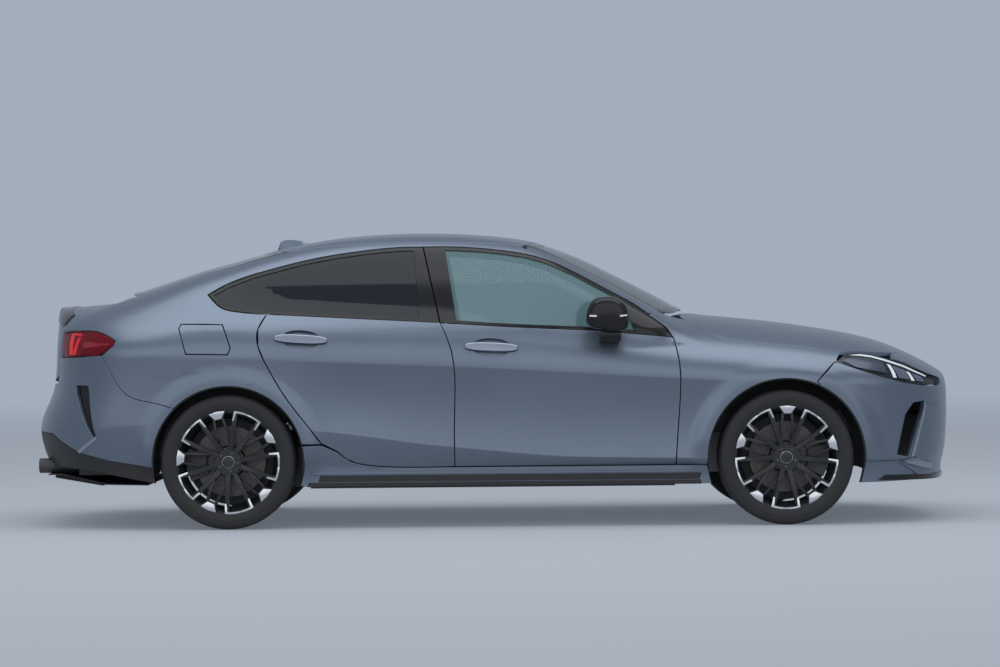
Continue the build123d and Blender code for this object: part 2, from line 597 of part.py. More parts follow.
# ---- bumpers, grille, lamps --------------------------------------------------------------
NOSE = dict(lift=round_nose, shape=lower)
TAIL = dict(lift=round_tail, shape=lower)
with BuildPart() as front_bumper:
    panel(low=[(-80.5, 205), (80.5, 205)], high=[(-80.5, 830), (80.5, 830)], inside=PANEL_WALL, counts=(33, 15), tol=0.8,
          **NOSE)
    add(side_prism(FRONT_BUMPER, -EDGE), mode=Mode.INTERSECT)
    arch_cut(FRONT_AXLE, ARCH_FRONT_R)
    add(side_prism(HEADLAMP, EDGE), mode=Mode.SUBTRACT)
    add(above_prism(BONNET_CUT, SHUT), mode=Mode.SUBTRACT)
    box((1900, 2400), (-GRILLE_HALF, GRILLE_HALF), GRILLE_Z, mode=Mode.SUBTRACT)
    box((1900, 2400), (-INTAKE_HALF, INTAKE_HALF), INTAKE_Z, mode=Mode.SUBTRACT)
    box((PLATE_TIP - 45, PLATE_TIP), (-262, 262), (356, 466))
keep(front_bumper, "front_bumper")
with BuildPart() as grille:
    with BuildPart(mode=Mode.PRIVATE) as mesh:
        panel(low=[(-30, 225), (30, 225)], high=[(-30, 660), (30, 660)], outside=6, inside=30, counts=(11, 9), **NOSE)
    for half, (low, high) in ((GRILLE_HALF, GRILLE_Z), (INTAKE_HALF, INTAKE_Z)):
        with BuildPart(mode=Mode.PRIVATE) as field:
            add(mesh.part)
            box((1800, 2400), (-half + SEAT, half - SEAT), (low + SEAT, high - SEAT), mode=Mode.INTERSECT)
            steps = int((high - low) // 34)
            with Locations(*[(2200, 0, low + (high - low) * (i + 0.5) / steps) for i in range(steps)]):
                Box(400, 2 * half - 30, 22, mode=Mode.SUBTRACT)
        add(field.part)
keep(grille, "grille")
with BuildPart() as headlamps:
    with BuildPart(mode=Mode.PRIVATE) as lamp:
        panel(low=[(32, 635), (80, 635)], high=[(32, 860), (80, 860)], outside=1, inside=90, counts=(15, 9), tol=0.5, **NOSE)
        add(side_prism(HEADLAMP, -EDGE), mode=Mode.INTERSECT)
        add(above_prism(BONNET_CUT, 2 * SHUT), mode=Mode.SUBTRACT)
    add(lamp.part)
    mirror(lamp.part, about=Plane.XZ)
keep(headlamps, "headlamps")
with BuildPart() as rear_bumper:
    panel(low=[(105.5, BUMPER_LOW), (254.5, BUMPER_LOW)], high=[(105.5, 862), (254.5, 862)], inside=PANEL_WALL, counts=(33, 15), tol=0.8,
          **TAIL)
    add(side_prism(REAR_BUMPER, -EDGE), mode=Mode.INTERSECT)
    arch_cut(REAR_AXLE, ARCH_REAR_R)
    box((-2400, -1950), (-LID_HALF - SHUT, LID_HALF + SHUT), (LID_LOW - SHUT, 1200), mode=Mode.SUBTRACT)
    for y in (-PIPE_Y, PIPE_Y):
        with Locations(Location((-2200, y, PIPE_Z), (0, 90, 0))):
            Cylinder(PIPE_R + 4, 300, mode=Mode.SUBTRACT)
keep(rear_bumper, "rear_bumper")
with BuildPart() as tail_lamps:
    with BuildPart(mode=Mode.PRIVATE) as lamp:
        panel(low=[(116, 800), (156, 800)], high=[(116, 985), (156, 985)], outside=1, inside=60, counts=(13, 9), tol=0.5,
              **TAIL)
        add(side_prism(TAIL_LAMP, -EDGE), mode=Mode.INTERSECT)
        box((-2500, 0), (-100, LID_HALF + SHUT), (0, 1500), mode=Mode.SUBTRACT)
    add(lamp.part)
    mirror(lamp.part, about=Plane.XZ)
keep(tail_lamps, "tail_lamps")
with BuildPart() as rear_diffuser:
    top = BUMPER_LOW - SEAT
    profile([(-1700, 200), (-1900, 205), (-2120, top - 6), (-2185, top - 6), (-2185, top), (-2120, top), (-1900, 211),
             (-1700, 206)], (-560, 560))
    for y in (-330, -120, 120, 330):
        profile([(-1900, 205), (-2120, top - 5), (-2185, top - 5), (-2185, 232), (-1950, 190)], (y - 4, y + 4))
keep(rear_diffuser, "rear_diffuser")

# ---- structure under the skin ------------------------------------------------------------
with BuildPart() as floor_pan:
    box((-890, 860), (-790, 790), (FLOOR_Z, FLOOR_Z + SHEET))
    box((-1150, -890), (-590, 590), (FLOOR_Z, FLOOR_Z + SHEET))
    box((860, 950), (-640, 640), (FLOOR_Z, FLOOR_Z + SHEET))
    box((-1140, -660), (-588, 588), (FLOOR_Z, RISER_Z))
    box((-1150, 950), (-TUNNEL_HALF, TUNNEL_HALF), (FLOOR_Z, TUNNEL_Z))
    box((942, 950), (-580, 580), (FLOOR_Z, 950))
    box((905, 1010), (-480, 480), (942, 950))
    profile([(-1142, FLOOR_Z), (-1150, FLOOR_Z), (-1150, 440), (-1308, 913), (-1300, 913), (-1142, 440)], (-BOOT_HALF, BOOT_HALF))
    box((-1760, -1300), (-BOOT_HALF, BOOT_HALF), (905, 913))
    box((-2128, -1150), (-BOOT_HALF, BOOT_HALF), (BOOT_FLOOR_Z, BOOT_FLOOR_Z + SHEET))
    for y in (-BOOT_HALF, BOOT_HALF - SHEET):
        box((-2060, -1300), (y, y + SHEET), (BOOT_FLOOR_Z, 913))
        box((-1308, -1150), (y, y + SHEET), (BOOT_FLOOR_Z, 445))
    box((-2128, -2120), (-440, 440), (BOOT_FLOOR_Z, 690))
    for y in (-385, 340):
        box((945, 2110), (y, y + 45), (430, 510))
    box((2100, 2135), (-480, 480), (420, 520))
    box((2030, 2070), (-320, 320), (250, 690))
    box((2030, 2105), (-385, -300), (430, 510))
    box((2030, 2105), (300, 385), (430, 510))
    box((-1160, 960), (-TUNNEL_HALF + SHEET, TUNNEL_HALF - SHEET), (FLOOR_Z - 10, TUNNEL_Z - SHEET), mode=Mode.SUBTRACT)
keep(floor_pan, "floor_pan")
with BuildPart() as wheel_arch_liners:
    for axle, r, inner_y in ((FRONT_AXLE, ARCH_FRONT_R, 455), (REAR_AXLE, ARCH_REAR_R, 600)):
        with BuildPart(mode=Mode.PRIVATE) as liner:
            drum(axle, (inner_y, 884), TYRE_R, r - SEAT)
            drum(axle, (inner_y + 4, 1000), TYRE_R, r - SEAT - 4, Mode.SUBTRACT)
            box((axle - 500, axle + 500), (0, 1000), (-200, 265), mode=Mode.SUBTRACT)
            box((axle - r + 8, axle + r - 8), (0, inner_y + 4), (200, 535), mode=Mode.SUBTRACT)
        add(liner.part)
        mirror(liner.part, about=Plane.XZ)
keep(wheel_arch_liners, "wheel_arch_liners")
with BuildPart() as engine:
    box((1040, 1720), (-290, 290), (SUBFRAME_Z + SEAT, 800))
keep(engine, "engine")
with BuildPart() as suspension:
    with BuildPart(mode=Mode.PRIVATE) as half:
        for axle, tower_y, reach in ((FRONT_AXLE, 385 + SEAT, 170), (REAR_AXLE, BOOT_HALF + SEAT, 110)):
            box((axle - reach, axle - reach + 50), (-1, tower_y + 30), (160, SUBFRAME_Z))
            box((axle + reach - 50, axle + reach), (-1, tower_y + 30), (160, SUBFRAME_Z))
            box((axle - reach, axle + reach), (tower_y, tower_y + 30), (160, SUBFRAME_Z))
            box((axle - 60, axle + 60), (tower_y, tower_y + 30), (160, 620))
            for z, drop in ((ARM_LOW_Z, -50), (ARM_HIGH_Z, -10)):
                with BuildSketch(Plane.YZ.offset(axle - 26)):
                    with BuildLine():
                        Polyline((KINGPIN_Y + 16, z), (KINGPIN_Y - 60, z), (tower_y + 20, z - drop), (tower_y + 20, z + 20 - drop),
                                 (KINGPIN_Y - 60, z + 16), (KINGPIN_Y + 16, z + 16), close=True)
                    make_face()
                extrude(amount=52)
    add(half.part)
    mirror(half.part, about=Plane.XZ)
keep(suspension, "suspension")
with BuildPart() as exhaust:
    with Locations(Location((-330, 0, 265), (0, 90, 0))):
        Cylinder(28, 2 * (1040 - SEAT + 330))
    box((-2040, -1690), (-520, 520), (252, BOOT_FLOOR_Z - SEAT))
    for y in (-PIPE_Y, PIPE_Y):
        with Locations(Location((-2135, y, PIPE_Z), (0, 90, 0))):
            Cylinder(PIPE_R, 210)
            with Locations((0, 0, -20)):
                Cylinder(PIPE_R - 3, 210, mode=Mode.SUBTRACT)
keep(exhaust, "exhaust")

# ---- cabin -------------------------------------------------------------------------------
with BuildPart() as dashboard:
    profile([(480, 700), (520, 860), (600, 905), (880, 930), (942 - SEAT, 930), (942 - SEAT, 640), (880, 560),
             (640, 560)], (-605, 605))
keep(dashboard, "dashboard")
with BuildPart() as steering_wheel:
    with BuildPart(mode=Mode.PRIVATE) as rim_ring:
        with BuildSketch(Plane.XZ):
            with Locations((180, 0)):
                RegularPolygon(15, 8)
        revolve(axis=Axis.Z)
    with Locations(Location((385, 380, 850), (0, -65, 0))):
        add(rim_ring.part)
        with Locations((0, 0, -20)):
            Cylinder(62, 46)
            Box(60, 340, 16)
        with Locations((-85, 0, -20)):
            Box(170, 60, 16)
        with Locations((0, 0, -88)):
            Cylinder(26, 124)
    add(dashboard.part, mode=Mode.SUBTRACT)
keep(steering_wheel, "steering_wheel")
with BuildPart() as front_seats:
    with BuildPart(mode=Mode.PRIVATE) as seat:
        profile([(-260, 300), (250, 300), (262, 430), (-170, 392), (-330, 960), (-430, 960), (-270, 380)], (150, 610))
        profile([(-372, 940), (-412, 940), (-425, 1010), (-385, 1010)], (300, 460))
        profile([(-362, 985), (-440, 985), (-455, 1150), (-395, 1150)], (250, 510))
        for y in (180, 540):
            box((-220, 220), (y, y + 40), (FLOOR_Z + SHEET + SEAT, 305))
    add(seat.part)
    mirror(seat.part, about=Plane.XZ)
keep(front_seats, "front_seats")
with BuildPart() as rear_seat:
    profile([(-1140, RISER_Z + SEAT), (-640, RISER_Z + SEAT), (-630, 465), (-1060, 445), (-1190, 925), (-1292, 892),
             (-1141, 446)], (-545, 545))
    for y in (-330, 330):
        profile([(-1196, 900), (-1276, 890), (-1275, 1040), (-1218, 1040)], (y - 125, y + 125))
keep(rear_seat, "rear_seat")

# ---- wheels ------------------------------------------------------------------------------
def wheel_ring(axle, points):
    """Turned ring about an axle, from (offset outwards, radius) points."""
    with BuildPart() as ring:
        with BuildSketch(Plane.YZ.offset(axle)):
            with BuildLine():
                Polyline(*[(WHEEL_Y + y, TYRE_R + r) for y, r in points], close=True)
            make_face()
        revolve(axis=Axis((axle, 0, TYRE_R), (0, 1, 0)))
    add(ring.part)


def polar(r, degrees):
    return r * np.cos(np.radians(degrees)), r * np.sin(np.radians(degrees))


def rim(axle, turn):
    """Barrel, hub and brake disc, and five pairs of spokes under bridges between five forked outer blocks."""
    with BuildPart() as turned:
        wheel_ring(axle, [(-RIM_HALF, RIM_R), (-98.3, RIM_R), (-98.3, BEAD_R), (98.3, BEAD_R), (98.3, RIM_R),
                          (RIM_HALF, RIM_R), (RIM_HALF, 249), (60, 228), (-90, 232), (-RIM_HALF, 244)])
        wheel_ring(axle, [(30, HUB_BORE), (30, 62), (SPOKE_FRONT - 14, 62), (SPOKE_FRONT - 8, 30), (SPOKE_FRONT - 8, 0),
                          (52, 0), (52, HUB_BORE)])
        wheel_ring(axle, [(DISC_BACK, HUB_BORE), (DISC_BACK, DISC_R), (DISC_FRONT, DISC_R), (DISC_FRONT, 62), (30, 62),
                          (30, HUB_BORE)])
        block = [polar(208, 0), polar(SPOKE_R, 0), polar(SPOKE_R, 9.4), polar(208, 4.6)]
        prong = [polar(52, 12), polar(56, 24), polar(215, 4.4), polar(210, 0.8)]
        arm = [polar(50, 17), polar(50, 31), polar(150, 25.6), polar(SPOKE_R, 24.4), polar(SPOKE_R, 19.6), polar(196, 18.6),
               polar(120, 17.4)]
        bridge = [polar(SPOKE_R, 36.2), polar(SPOKE_R, 20), polar(SPOKE_R - 9, 20), polar(SPOKE_R - 9, 36.2)]
        face = SPOKE_FRONT
        for back, front, outline in ((face - 16, face - 2, block), (face - 24, face - 8, prong), (face - 24, face - 4, arm),
                                     (face - 16, face, bridge)):
            with BuildSketch(Plane((axle, WHEEL_Y + front, TYRE_R), x_dir=(1, 0, 0), z_dir=(0, -1, 0))):
                with PolarLocations(0, 5, start_angle=turn):
                    for side in (1, -1):
                        Polygon(*[(u, side * w) for u, w in outline], align=None)
            extrude(amount=front - back)
    return turned


def tyre(axle):
    with BuildPart() as turned:
        wheel_ring(axle, [(-98, 243.3), (98, 243.3), (98, 258), (113, 274), (116, 290), (113, 306), (100, 318), (82, 323),
                          (-82, 323), (-100, 318), (-113, 306), (-116, 290), (-113, 274), (-98, 258)])
    return turned


def knuckle(axle, ahead):
    """Upright between its two arms, stub axle, and caliper ahead of or behind the disc's centre."""
    with BuildPart() as upright:
        box((axle - 30, axle + 30), (KINGPIN_Y - 16, KINGPIN_Y + 16), (ARM_LOW_Z + 16 + SEAT, ARM_HIGH_Z - SEAT))
        drum(axle, (KINGPIN_Y - 16, KINGPIN_Y + 17), TYRE_R, 60)
        drum(axle, (KINGPIN_Y, WHEEL_Y + 52 - SEAT), TYRE_R, STUB_R)
        with BuildPart(mode=Mode.PRIVATE) as caliper:
            drum(axle, (KINGPIN_Y - 5, WHEEL_Y + 24), TYRE_R, 205)
            drum(axle, (0, 1000), TYRE_R, 112, Mode.SUBTRACT)
            drum(axle, (WHEEL_Y - 43 - 3, WHEEL_Y - 17 + 3), TYRE_R, 175, Mode.SUBTRACT)
            with BuildPart(mode=Mode.PRIVATE) as wedge:
                profile([(axle, TYRE_R), (axle + ahead * 400, TYRE_R + 130), (axle + ahead * 400, TYRE_R - 210)], (0, 1000))
            add(wedge.part, mode=Mode.INTERSECT)
        add(caliper.part)
        middle = axle + ahead * 90
        box((middle - 45, middle + 45), (KINGPIN_Y - 14, KINGPIN_Y + 8), (TYRE_R - 30, TYRE_R + 25))
    return upright


wheel_parts = {}
for end, axle, turn in (("front", FRONT_AXLE, 88.5), ("rear", REAR_AXLE, 102.5)):
    for kind, made in (("rim", rim(axle, turn)), ("tyre", tyre(axle))):
        made_right = other_side(made)
        keep(made, f"{kind}_{end}_left")
        keep(made_right, f"{kind}_{end}_right")
knuckle_front_left = knuckle(FRONT_AXLE, 1)
keep(knuckle_front_left, "knuckle_front_left")
knuckle_front_right = other_side(knuckle_front_left)
keep(knuckle_front_right, "knuckle_front_right")
with BuildPart() as rear_knuckles:
    half = knuckle(REAR_AXLE, -1)
    add(half.part)
    mirror(half.part, about=Plane.XZ)
keep(rear_knuckles, "rear_knuckles")

# ---- door mirrors ------------------------------------------------------------------------
with BuildPart() as mirror_left:
    profile([(488, 1099), (454, 1074), (430, 1015), (434, 964), (458, 947), (564, 930), (632, 930), (642, 979), (642, 1043),
             (627, 1068), (564, 1104)], (880, 1008))
    profile([(500, 880), (500, 948), (600, 936), (600, 880)], (800, 960))
    for neighbour in (door_front_left, glass_front_left):
        add(neighbour.part, mode=Mode.SUBTRACT)
keep(mirror_left, "mirror_left")
mirror_right = other_side(mirror_left)
keep(mirror_right, "mirror_right")
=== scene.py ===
"""Four-door coupe in metres, +X forward, +Y left, +Z up. Outlines are written in millimetres."""
import math

import bmesh
import bpy
import numpy as np
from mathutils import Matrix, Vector
from mathutils.geometry import delaunay_2d_cdt


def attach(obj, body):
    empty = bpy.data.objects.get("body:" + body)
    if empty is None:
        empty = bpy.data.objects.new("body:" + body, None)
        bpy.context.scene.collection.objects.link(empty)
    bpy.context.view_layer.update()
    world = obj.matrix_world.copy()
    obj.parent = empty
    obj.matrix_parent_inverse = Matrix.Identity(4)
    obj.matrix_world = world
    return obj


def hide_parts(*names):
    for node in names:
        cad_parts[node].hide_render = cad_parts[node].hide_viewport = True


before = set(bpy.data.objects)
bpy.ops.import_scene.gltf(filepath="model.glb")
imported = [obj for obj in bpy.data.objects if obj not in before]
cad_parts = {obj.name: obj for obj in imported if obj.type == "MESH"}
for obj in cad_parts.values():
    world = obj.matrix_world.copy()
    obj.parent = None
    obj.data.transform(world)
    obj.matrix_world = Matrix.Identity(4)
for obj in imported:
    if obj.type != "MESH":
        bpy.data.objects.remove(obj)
scene = bpy.context.scene
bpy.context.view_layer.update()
MM = 0.001


# ---- body surface, millimetres -------------------------------------------------------------
FRONT_AXLE, REAR_AXLE = 1391.0, -1279.0
TYRE_R = 323.0
WHEEL_Y = 771.0
ARCH_FRONT_R, ARCH_REAR_R = 377.0, 363.0
FLARE_Y = 898.0
DOOR_BOTTOM = 292.0
SHUT = 2.0               # half of a shut line
DOOR_LIP = 2.5           # rise of the door skins over the foot of the side glass
SECTION_CENTRE_Z = 560.0
DEGREE = 15.3            # length of one degree on the charts that turn about a centre


def curve(*points):
    """Natural cubic through (station, value) points, straight beyond its ends."""
    x, v = np.array(points, float).T
    n, h = len(x), np.diff(x)
    a, r = np.eye(n), np.zeros(n)
    for i in range(1, n - 1):
        a[i, i - 1 : i + 2] = h[i - 1], 2 * (h[i - 1] + h[i]), h[i]
        r[i] = 6 * ((v[i + 1] - v[i]) / h[i] - (v[i] - v[i - 1]) / h[i - 1])
    m = np.linalg.solve(a, r)
    slope_low = (v[1] - v[0]) / h[0] - h[0] * m[1] / 6
    slope_high = (v[-1] - v[-2]) / h[-1] + h[-1] * m[-2] / 6

    def at(t):
        t = np.asarray(t, float)
        k = np.clip(np.searchsorted(x, t) - 1, 0, n - 2)
        d, w = t - x[k], h[k]
        slope = (v[k + 1] - v[k]) / w - w * (2 * m[k] + m[k + 1]) / 6
        inside = v[k] + d * slope + d * d * m[k] / 2 + d**3 * (m[k + 1] - m[k]) / (6 * w)
        ends = np.where(t < x[0], v[0] + (t - x[0]) * slope_low, v[-1] + (t - x[-1]) * slope_high)
        return np.where((t < x[0]) | (t > x[-1]), ends, inside)

    return at


def ease(t, low, high):
    """Smooth step from 0 at low to 1 at high."""
    u = np.clip((t - low) / (high - low), 0, 1)
    return u * u * (3 - 2 * u)


# heights and half breadths of the lines that run along the lower body
crown_z = curve((-2200, 1072), (-2070, 1081), (-1900, 1096), (-1650, 1130), (-1200, 1195), (-600, 1222),
    (0, 1205), (500, 1120), (900, 1032), (1250, 992), (1660, 935), (1940, 865), (2110, 788),
    (2260, 708))
crease_z = curve((-2273, 830), (-1800, 830), (-905, 800), (-198, 769), (312, 741), (885, 704),
    (1400, 680), (2000, 655), (2260, 640))
crease_y = curve((-2273, 880), (-1700, 888), (-1279, 892), (-700, 886), (0, 884), (700, 886),
    (1391, 892), (1800, 886), (2260, 870))
tuck_z = curve((-2273, 480), (-870, 470), (-616, 440), (-338, 401), (-69, 373), (250, 342), (592, 330),
    (1400, 316), (2260, 310))
nose_x = curve((150, 2205), (230, 2225), (340, 2242), (500, 2254), (620, 2254), (700, 2250),
    (900, 2250))
tail_x = curve((200, -2130), (290, -2215), (400, -2262), (482, -2273), (560, -2252), (640, -2216),
    (720, -2197), (860, -2188), (1000, -2185), (1075, -2187), (1200, -2190))
# centre line of the glasshouse, and its half breadth at the belt
roof_z = curve((-2050, 975), (-1950, 1030), (-1800, 1103), (-1657, 1168), (-1507, 1230), (-1356, 1284),
    (-1225, 1323), (-1077, 1359), (-926, 1390), (-751, 1416), (-564, 1430), (-390, 1435), (-215, 1432),
    (-40, 1421), (100, 1405), (228, 1379), (330, 1347), (548, 1250), (716, 1164), (843, 1097),
    (969, 1023), (1100, 945))
belt_y = curve((-2050, 560), (-1800, 660), (-1384, 762), (-1000, 800), (-400, 815), (200, 820),
    (860, 812), (1100, 795))
BELT_Z = 950.0


def breadth(x, z):
    """Half breadth of the body side below its crease, with the waist, the tuck under and the flares."""
    top, low = crease_z(x), tuck_z(x)
    waist = (top + low) / 2 - 10
    sharp = 0.25 + 0.75 * ease(x, -1000, -700) * (1 - ease(x, 950, 1150))
    below = np.clip((top - z) / (top - waist), 0, 1)
    rise = np.clip((waist - z) / (waist - low), 0, 1)
    tuck = np.clip((low - z) / (low - DOOR_BOTTOM), 0, 1)
    y = crease_y(x) + sharp * (10 * rise**2
        - 16 * (1 - (1 - below) ** 2)) - 30 * (0.6 * tuck + 0.4 * tuck**2)
    for axle, r in ((FRONT_AXLE, ARCH_FRONT_R), (REAR_AXLE, ARCH_REAR_R)):
        away = np.hypot(x - axle, z - TYRE_R)
        y = y + (1 - ease(away, r + 25, r + 110)) * ease(z, 230, 420) * np.maximum(FLARE_Y - y, 0)
    return y


def lower_shape(x, y, z):
    """Negative inside the lower body: a fuller and fuller oval towards the nose and the tail."""
    up = np.maximum(z - crease_z(x), 0) / np.maximum(crown_z(x) - crease_z(x), 20)
    front = np.clip((x - FRONT_AXLE) / (nose_x(z) - FRONT_AXLE), 0, 2)
    rear = np.clip((REAR_AXLE - x) / (REAR_AXLE - tail_x(z)), 0, 2)
    end = front**4 + rear**4.5
    taper = np.maximum(1 - end, 1e-9) ** (1 / 2.6)
    oval = (np.abs(y) / np.maximum(breadth(x, z) * taper, 1)) ** 3 + up**2 - 1
    return np.where(end < 1, oval, np.maximum(oval, 0) + (end - 1))


def rounded_max(a, b, radius):
    h = np.maximum(radius - np.abs(a - b), 0) / radius
    return np.maximum(a, b) + h * h * radius / 4


def glasshouse(x, y, z):
    """Roughly the distance outside the glasshouse: leaning sides, and one arch from cowl to deck."""
    up = np.maximum(z - BELT_Z, 0)
    side = np.abs(y) - (belt_y(x) - 0.36 * up - 0.00038 * up**2)
    bow = ease(x, 100, 400) * 2.0e-4 - (1 - ease(x, -1300, -900)) * 1.2e-4
    top = z - (roof_z(x + bow * y**2) - 1.15e-4 * y**2)
    return np.maximum(rounded_max(0.9 * side, 0.9 * top, 95.0), 880 - z)


def distance(shape, x, y, z, h=1.0):
    """First order distance to the surface where shape is zero."""
    value = shape(x, y, z)
    slope = [(shape(x + i, y + j, z + k) - value) / h for i, j, k in ((h, 0, 0), (0, h, 0), (0, 0, h))]
    return value / np.maximum(np.sqrt(sum(s * s for s in slope)), 1e-6)


def body(x, y, z):
    """Lower body and glasshouse, blended widely over the rear quarters."""
    a, b = distance(lower_shape, x, y, z), glasshouse(x, y, z)
    k = 30 + 130 * (1 - ease(x, -1500, -950))
    h = np.maximum(k - np.abs(a - b), 0) / k
    return np.minimum(a, b) - h * h * k / 4


def lower(x, y, z):
    return distance(lower_shape, x, y, z)


# ways of laying a flat outline on the body: each gives the origins and directions of rays from inside
def from_side(p):
    x, z = p[..., 0], p[..., 1]
    return np.stack([x, 0 * x, z], -1), np.stack([0 * x, 0 * x + 1, 0 * x], -1)


def from_above(p):
    x, y = p[..., 0], p[..., 1]
    return np.stack([x, y, 0 * x + 300], -1), np.stack([0 * x, 0 * x, 0 * x + 1], -1)


def round_section(p):
    x, turn = p[..., 0], np.radians(p[..., 1])
    return np.stack([x, 0 * x, 0 * x + SECTION_CENTRE_Z],
        -1), np.stack([0 * x, np.cos(turn), np.sin(turn)], -1)


def round_nose(p):
    turn, z = np.radians(p[..., 0]), p[..., 1]
    return np.stack([0 * z + FRONT_AXLE, 0 * z, z], -1), np.stack([np.cos(turn), np.sin(turn), 0 * z],
        -1)


def round_tail(p):
    turn, z = np.radians(p[..., 0]), p[..., 1]
    return np.stack([0 * z + REAR_AXLE, 0 * z, z], -1), np.stack([np.cos(turn), np.sin(turn), 0 * z],
        -1)


def over_deck(p):
    turn, y = np.radians(p[..., 0]), p[..., 1]
    centre = np.stack([0 * y + DECK_CENTRE[0], y, 0 * y + DECK_CENTRE[1]], -1)
    return centre, np.stack([np.cos(turn), 0 * y, np.sin(turn)], -1)


def hit(shape, origin, direction, far=1700.0):
    """Where rays from inside the body leave it."""
    def value(t):
        return shape(*np.moveaxis(origin + t[..., None] * direction, -1, 0))

    near = np.zeros(origin.shape[:-1])
    away = near + far
    for _ in range(10):
        mid = (near + away) / 2
        inside = value(mid) < 0
        near, away = np.where(inside, mid, near), np.where(inside, away, mid)
    low, high = value(near), value(away)
    for _ in range(2):
        mid = near + (away - near) * np.clip(low / np.minimum(low - high, -1e-9), 0, 1)
        at = value(mid)
        inside = at < 0
        near, low = np.where(inside, mid, near), np.where(inside, at, low)
        away, high = np.where(inside, away, mid), np.where(inside, high, at)
    return origin + mid[..., None] * direction


def facing(shape, p, h=2.0):
    """Unit normals of the surface at points on it."""
    slope = []
    for axis in range(3):
        step = np.zeros(3)
        step[axis] = h
        slope.append(shape(*np.moveaxis(p + step, -1, 0)) - shape(*np.moveaxis(p - step, -1, 0)))
    n = np.stack(slope, -1)
    return n / np.maximum(np.linalg.norm(n, axis=-1, keepdims=True), 1e-9)


def along(points, count):
    """Evenly spaced points of a smooth edge."""
    p = np.array(points, float)
    span = max(np.ptp(p[:, 0]), 1e-6), max(np.ptp(p[:, 1]), 1e-6)
    s = np.concatenate([[0], np.cumsum(np.hypot(*(np.diff(p, axis=0) / max(span)).T))])
    at = np.linspace(0, 1, count) * s[-1]
    return np.stack([curve(*zip(s, p[:, i]))(at) for i in (0, 1)], -1)


def grown(points, margin, least=1.0):
    """Closed outline moved outwards by margin, its corners kept sharp."""
    p = np.array(points, float)
    p = p[np.hypot(*(p - np.roll(p, 1, axis=0)).T) >= least]
    ahead = np.roll(p, -1, axis=0) - p
    turning = np.sign(np.sum(p[:, 0] * np.roll(p[:, 1], -1) - p[:, 1] * np.roll(p[:, 0], -1)))
    after = np.stack([ahead[:, 1], -ahead[:, 0]], -1) * turning / np.hypot(*ahead.T)[:, None]
    before = np.roll(after, 1, axis=0)
    shift = (after + before) / np.maximum(1 + np.sum(after * before, axis=1), 0.3)[:, None]
    return [(float(x), float(y)) for x, y in p + margin * shift]


# ---- panel outlines, side view (x, z) ----------------------------------------------------
DOOR_SPLIT = [(-195, DOOR_BOTTOM), (-195, 540), (-195, 774), (-211, 861), (-261, 980)]
BELT_FRONT = [(-261, 980), (122, 953), (440, 937), (859, 899)]
BELT_REAR = [(-1095, 1028), (-700, 1005), (-261, 980)]
DOOR_FRONT_EDGE = [(861, DOOR_BOTTOM), (877, 506), (887, 701), (881, 796), (859, 899)]
DOOR_REAR_EDGE = [(-760, 372), (-828, 405), (-872, 461), (-923, 527), (-993, 619), (-1089, 781),
    (-1132, 880), (-1138, 935), (-1095, 1028)]
DOOR_REAR_FOOT = [(-760, 372), (-704, 327), (-631, 305), (-485, DOOR_BOTTOM), (-195, DOOR_BOTTOM)]
GLASS_SPLIT = [(-261, 980), (-345, 1353)]
GLASS_TOP_FRONT = [(-345, 1353), (-205, 1353), (19, 1335), (123, 1320), (284, 1274), (405, 1215),
    (558, 1131), (687, 1057), (824, 947)]
GLASS_TOP_REAR = [(-1384, 1127), (-1319, 1166), (-1096, 1245), (-874, 1299), (-651, 1334), (-428, 1353),
    (-345, 1353)]
GLASS_REAR_TIP = [(-1384, 1127), (-1366, 1108), (-1318, 1064), (-1250, 1044), (-1095, 1028)]
BUMPER_REAR_LINE = [(-1887, 837), (-1841, 758), (-1794, 680), (-1737, 635), (-1653, 614), (-1540, 583)]
FUEL_FLAP = [(-1503, 985), (-1304, 981), (-1262, 867), (-1276, 837), (-1475, 841), (-1512, 964)]
# plan view (x, y), left half
BONNET_REAR = [(975, 0), (962, 200), (935, 350), (908, 470), (930, 560), (979, 638), (1047, 722)]
BONNET_SIDE = [(1047, 722), (1142, 755), (1323, 769), (1495, 770), (1667, 770), (1755, 737)]
BONNET_FRONT = [(2030, 0), (2015, 300), (1990, 480), (1962, 575), (1920, 640), (1850, 700), (1755, 737)]
SCREEN_TOP = [(225, 0), (205, 300), (150, 552)]
SCREEN_FOOT = [(945, 0), (930, 200), (905, 350), (865, 520), (800, 640)]
SCREEN_SIDE = [(150, 552), (500, 598), (800, 640)]
BACKLIGHT_TOP = [(-1120, 0), (-1096, 300), (-1010, 545)]
BACKLIGHT_FOOT = [(-1805, 0), (-1795, 300), (-1740, 540)]
BACKLIGHT_SIDE = [(-1010, 545), (-1370, 552), (-1740, 540)]
ROOF_SIDE = [(-1010, 545), (-600, 562), (-100, 566), (150, 552)]
DECK_CENTRE = (-1900.0, 850.0)

def full(half):
    """Left half of an edge, from the middle out, continued to the right."""
    return [(x, -y) for x, y in half[::-1]] + half[1:]


def raised(points, rise):
    return [(x, z + rise) for x, z in points]


def smooth(*edges):
    """Closed outline from edges that follow one another."""
    return [tuple(float(v) for v in p) for edge in edges for p in along(edge, 11)]


# ---- mesh making ---------------------------------------------------------------------------
def inside(loop, p):
    """Even-odd test of points against one closed outline."""
    a, b = loop, np.roll(loop, -1, axis=0)
    x, y = p[:, 0:1], p[:, 1:2]
    rising = (a[:, 1] > y) != (b[:, 1] > y)
    step = np.where(np.abs(b[:, 1] - a[:, 1]) < 1e-9, 1e-9, b[:, 1] - a[:, 1])
    return np.sum(rising & (x < (b[:, 0] - a[:, 0]) * (y - a[:, 1]) / step + a[:, 0]), axis=1) % 2 == 1


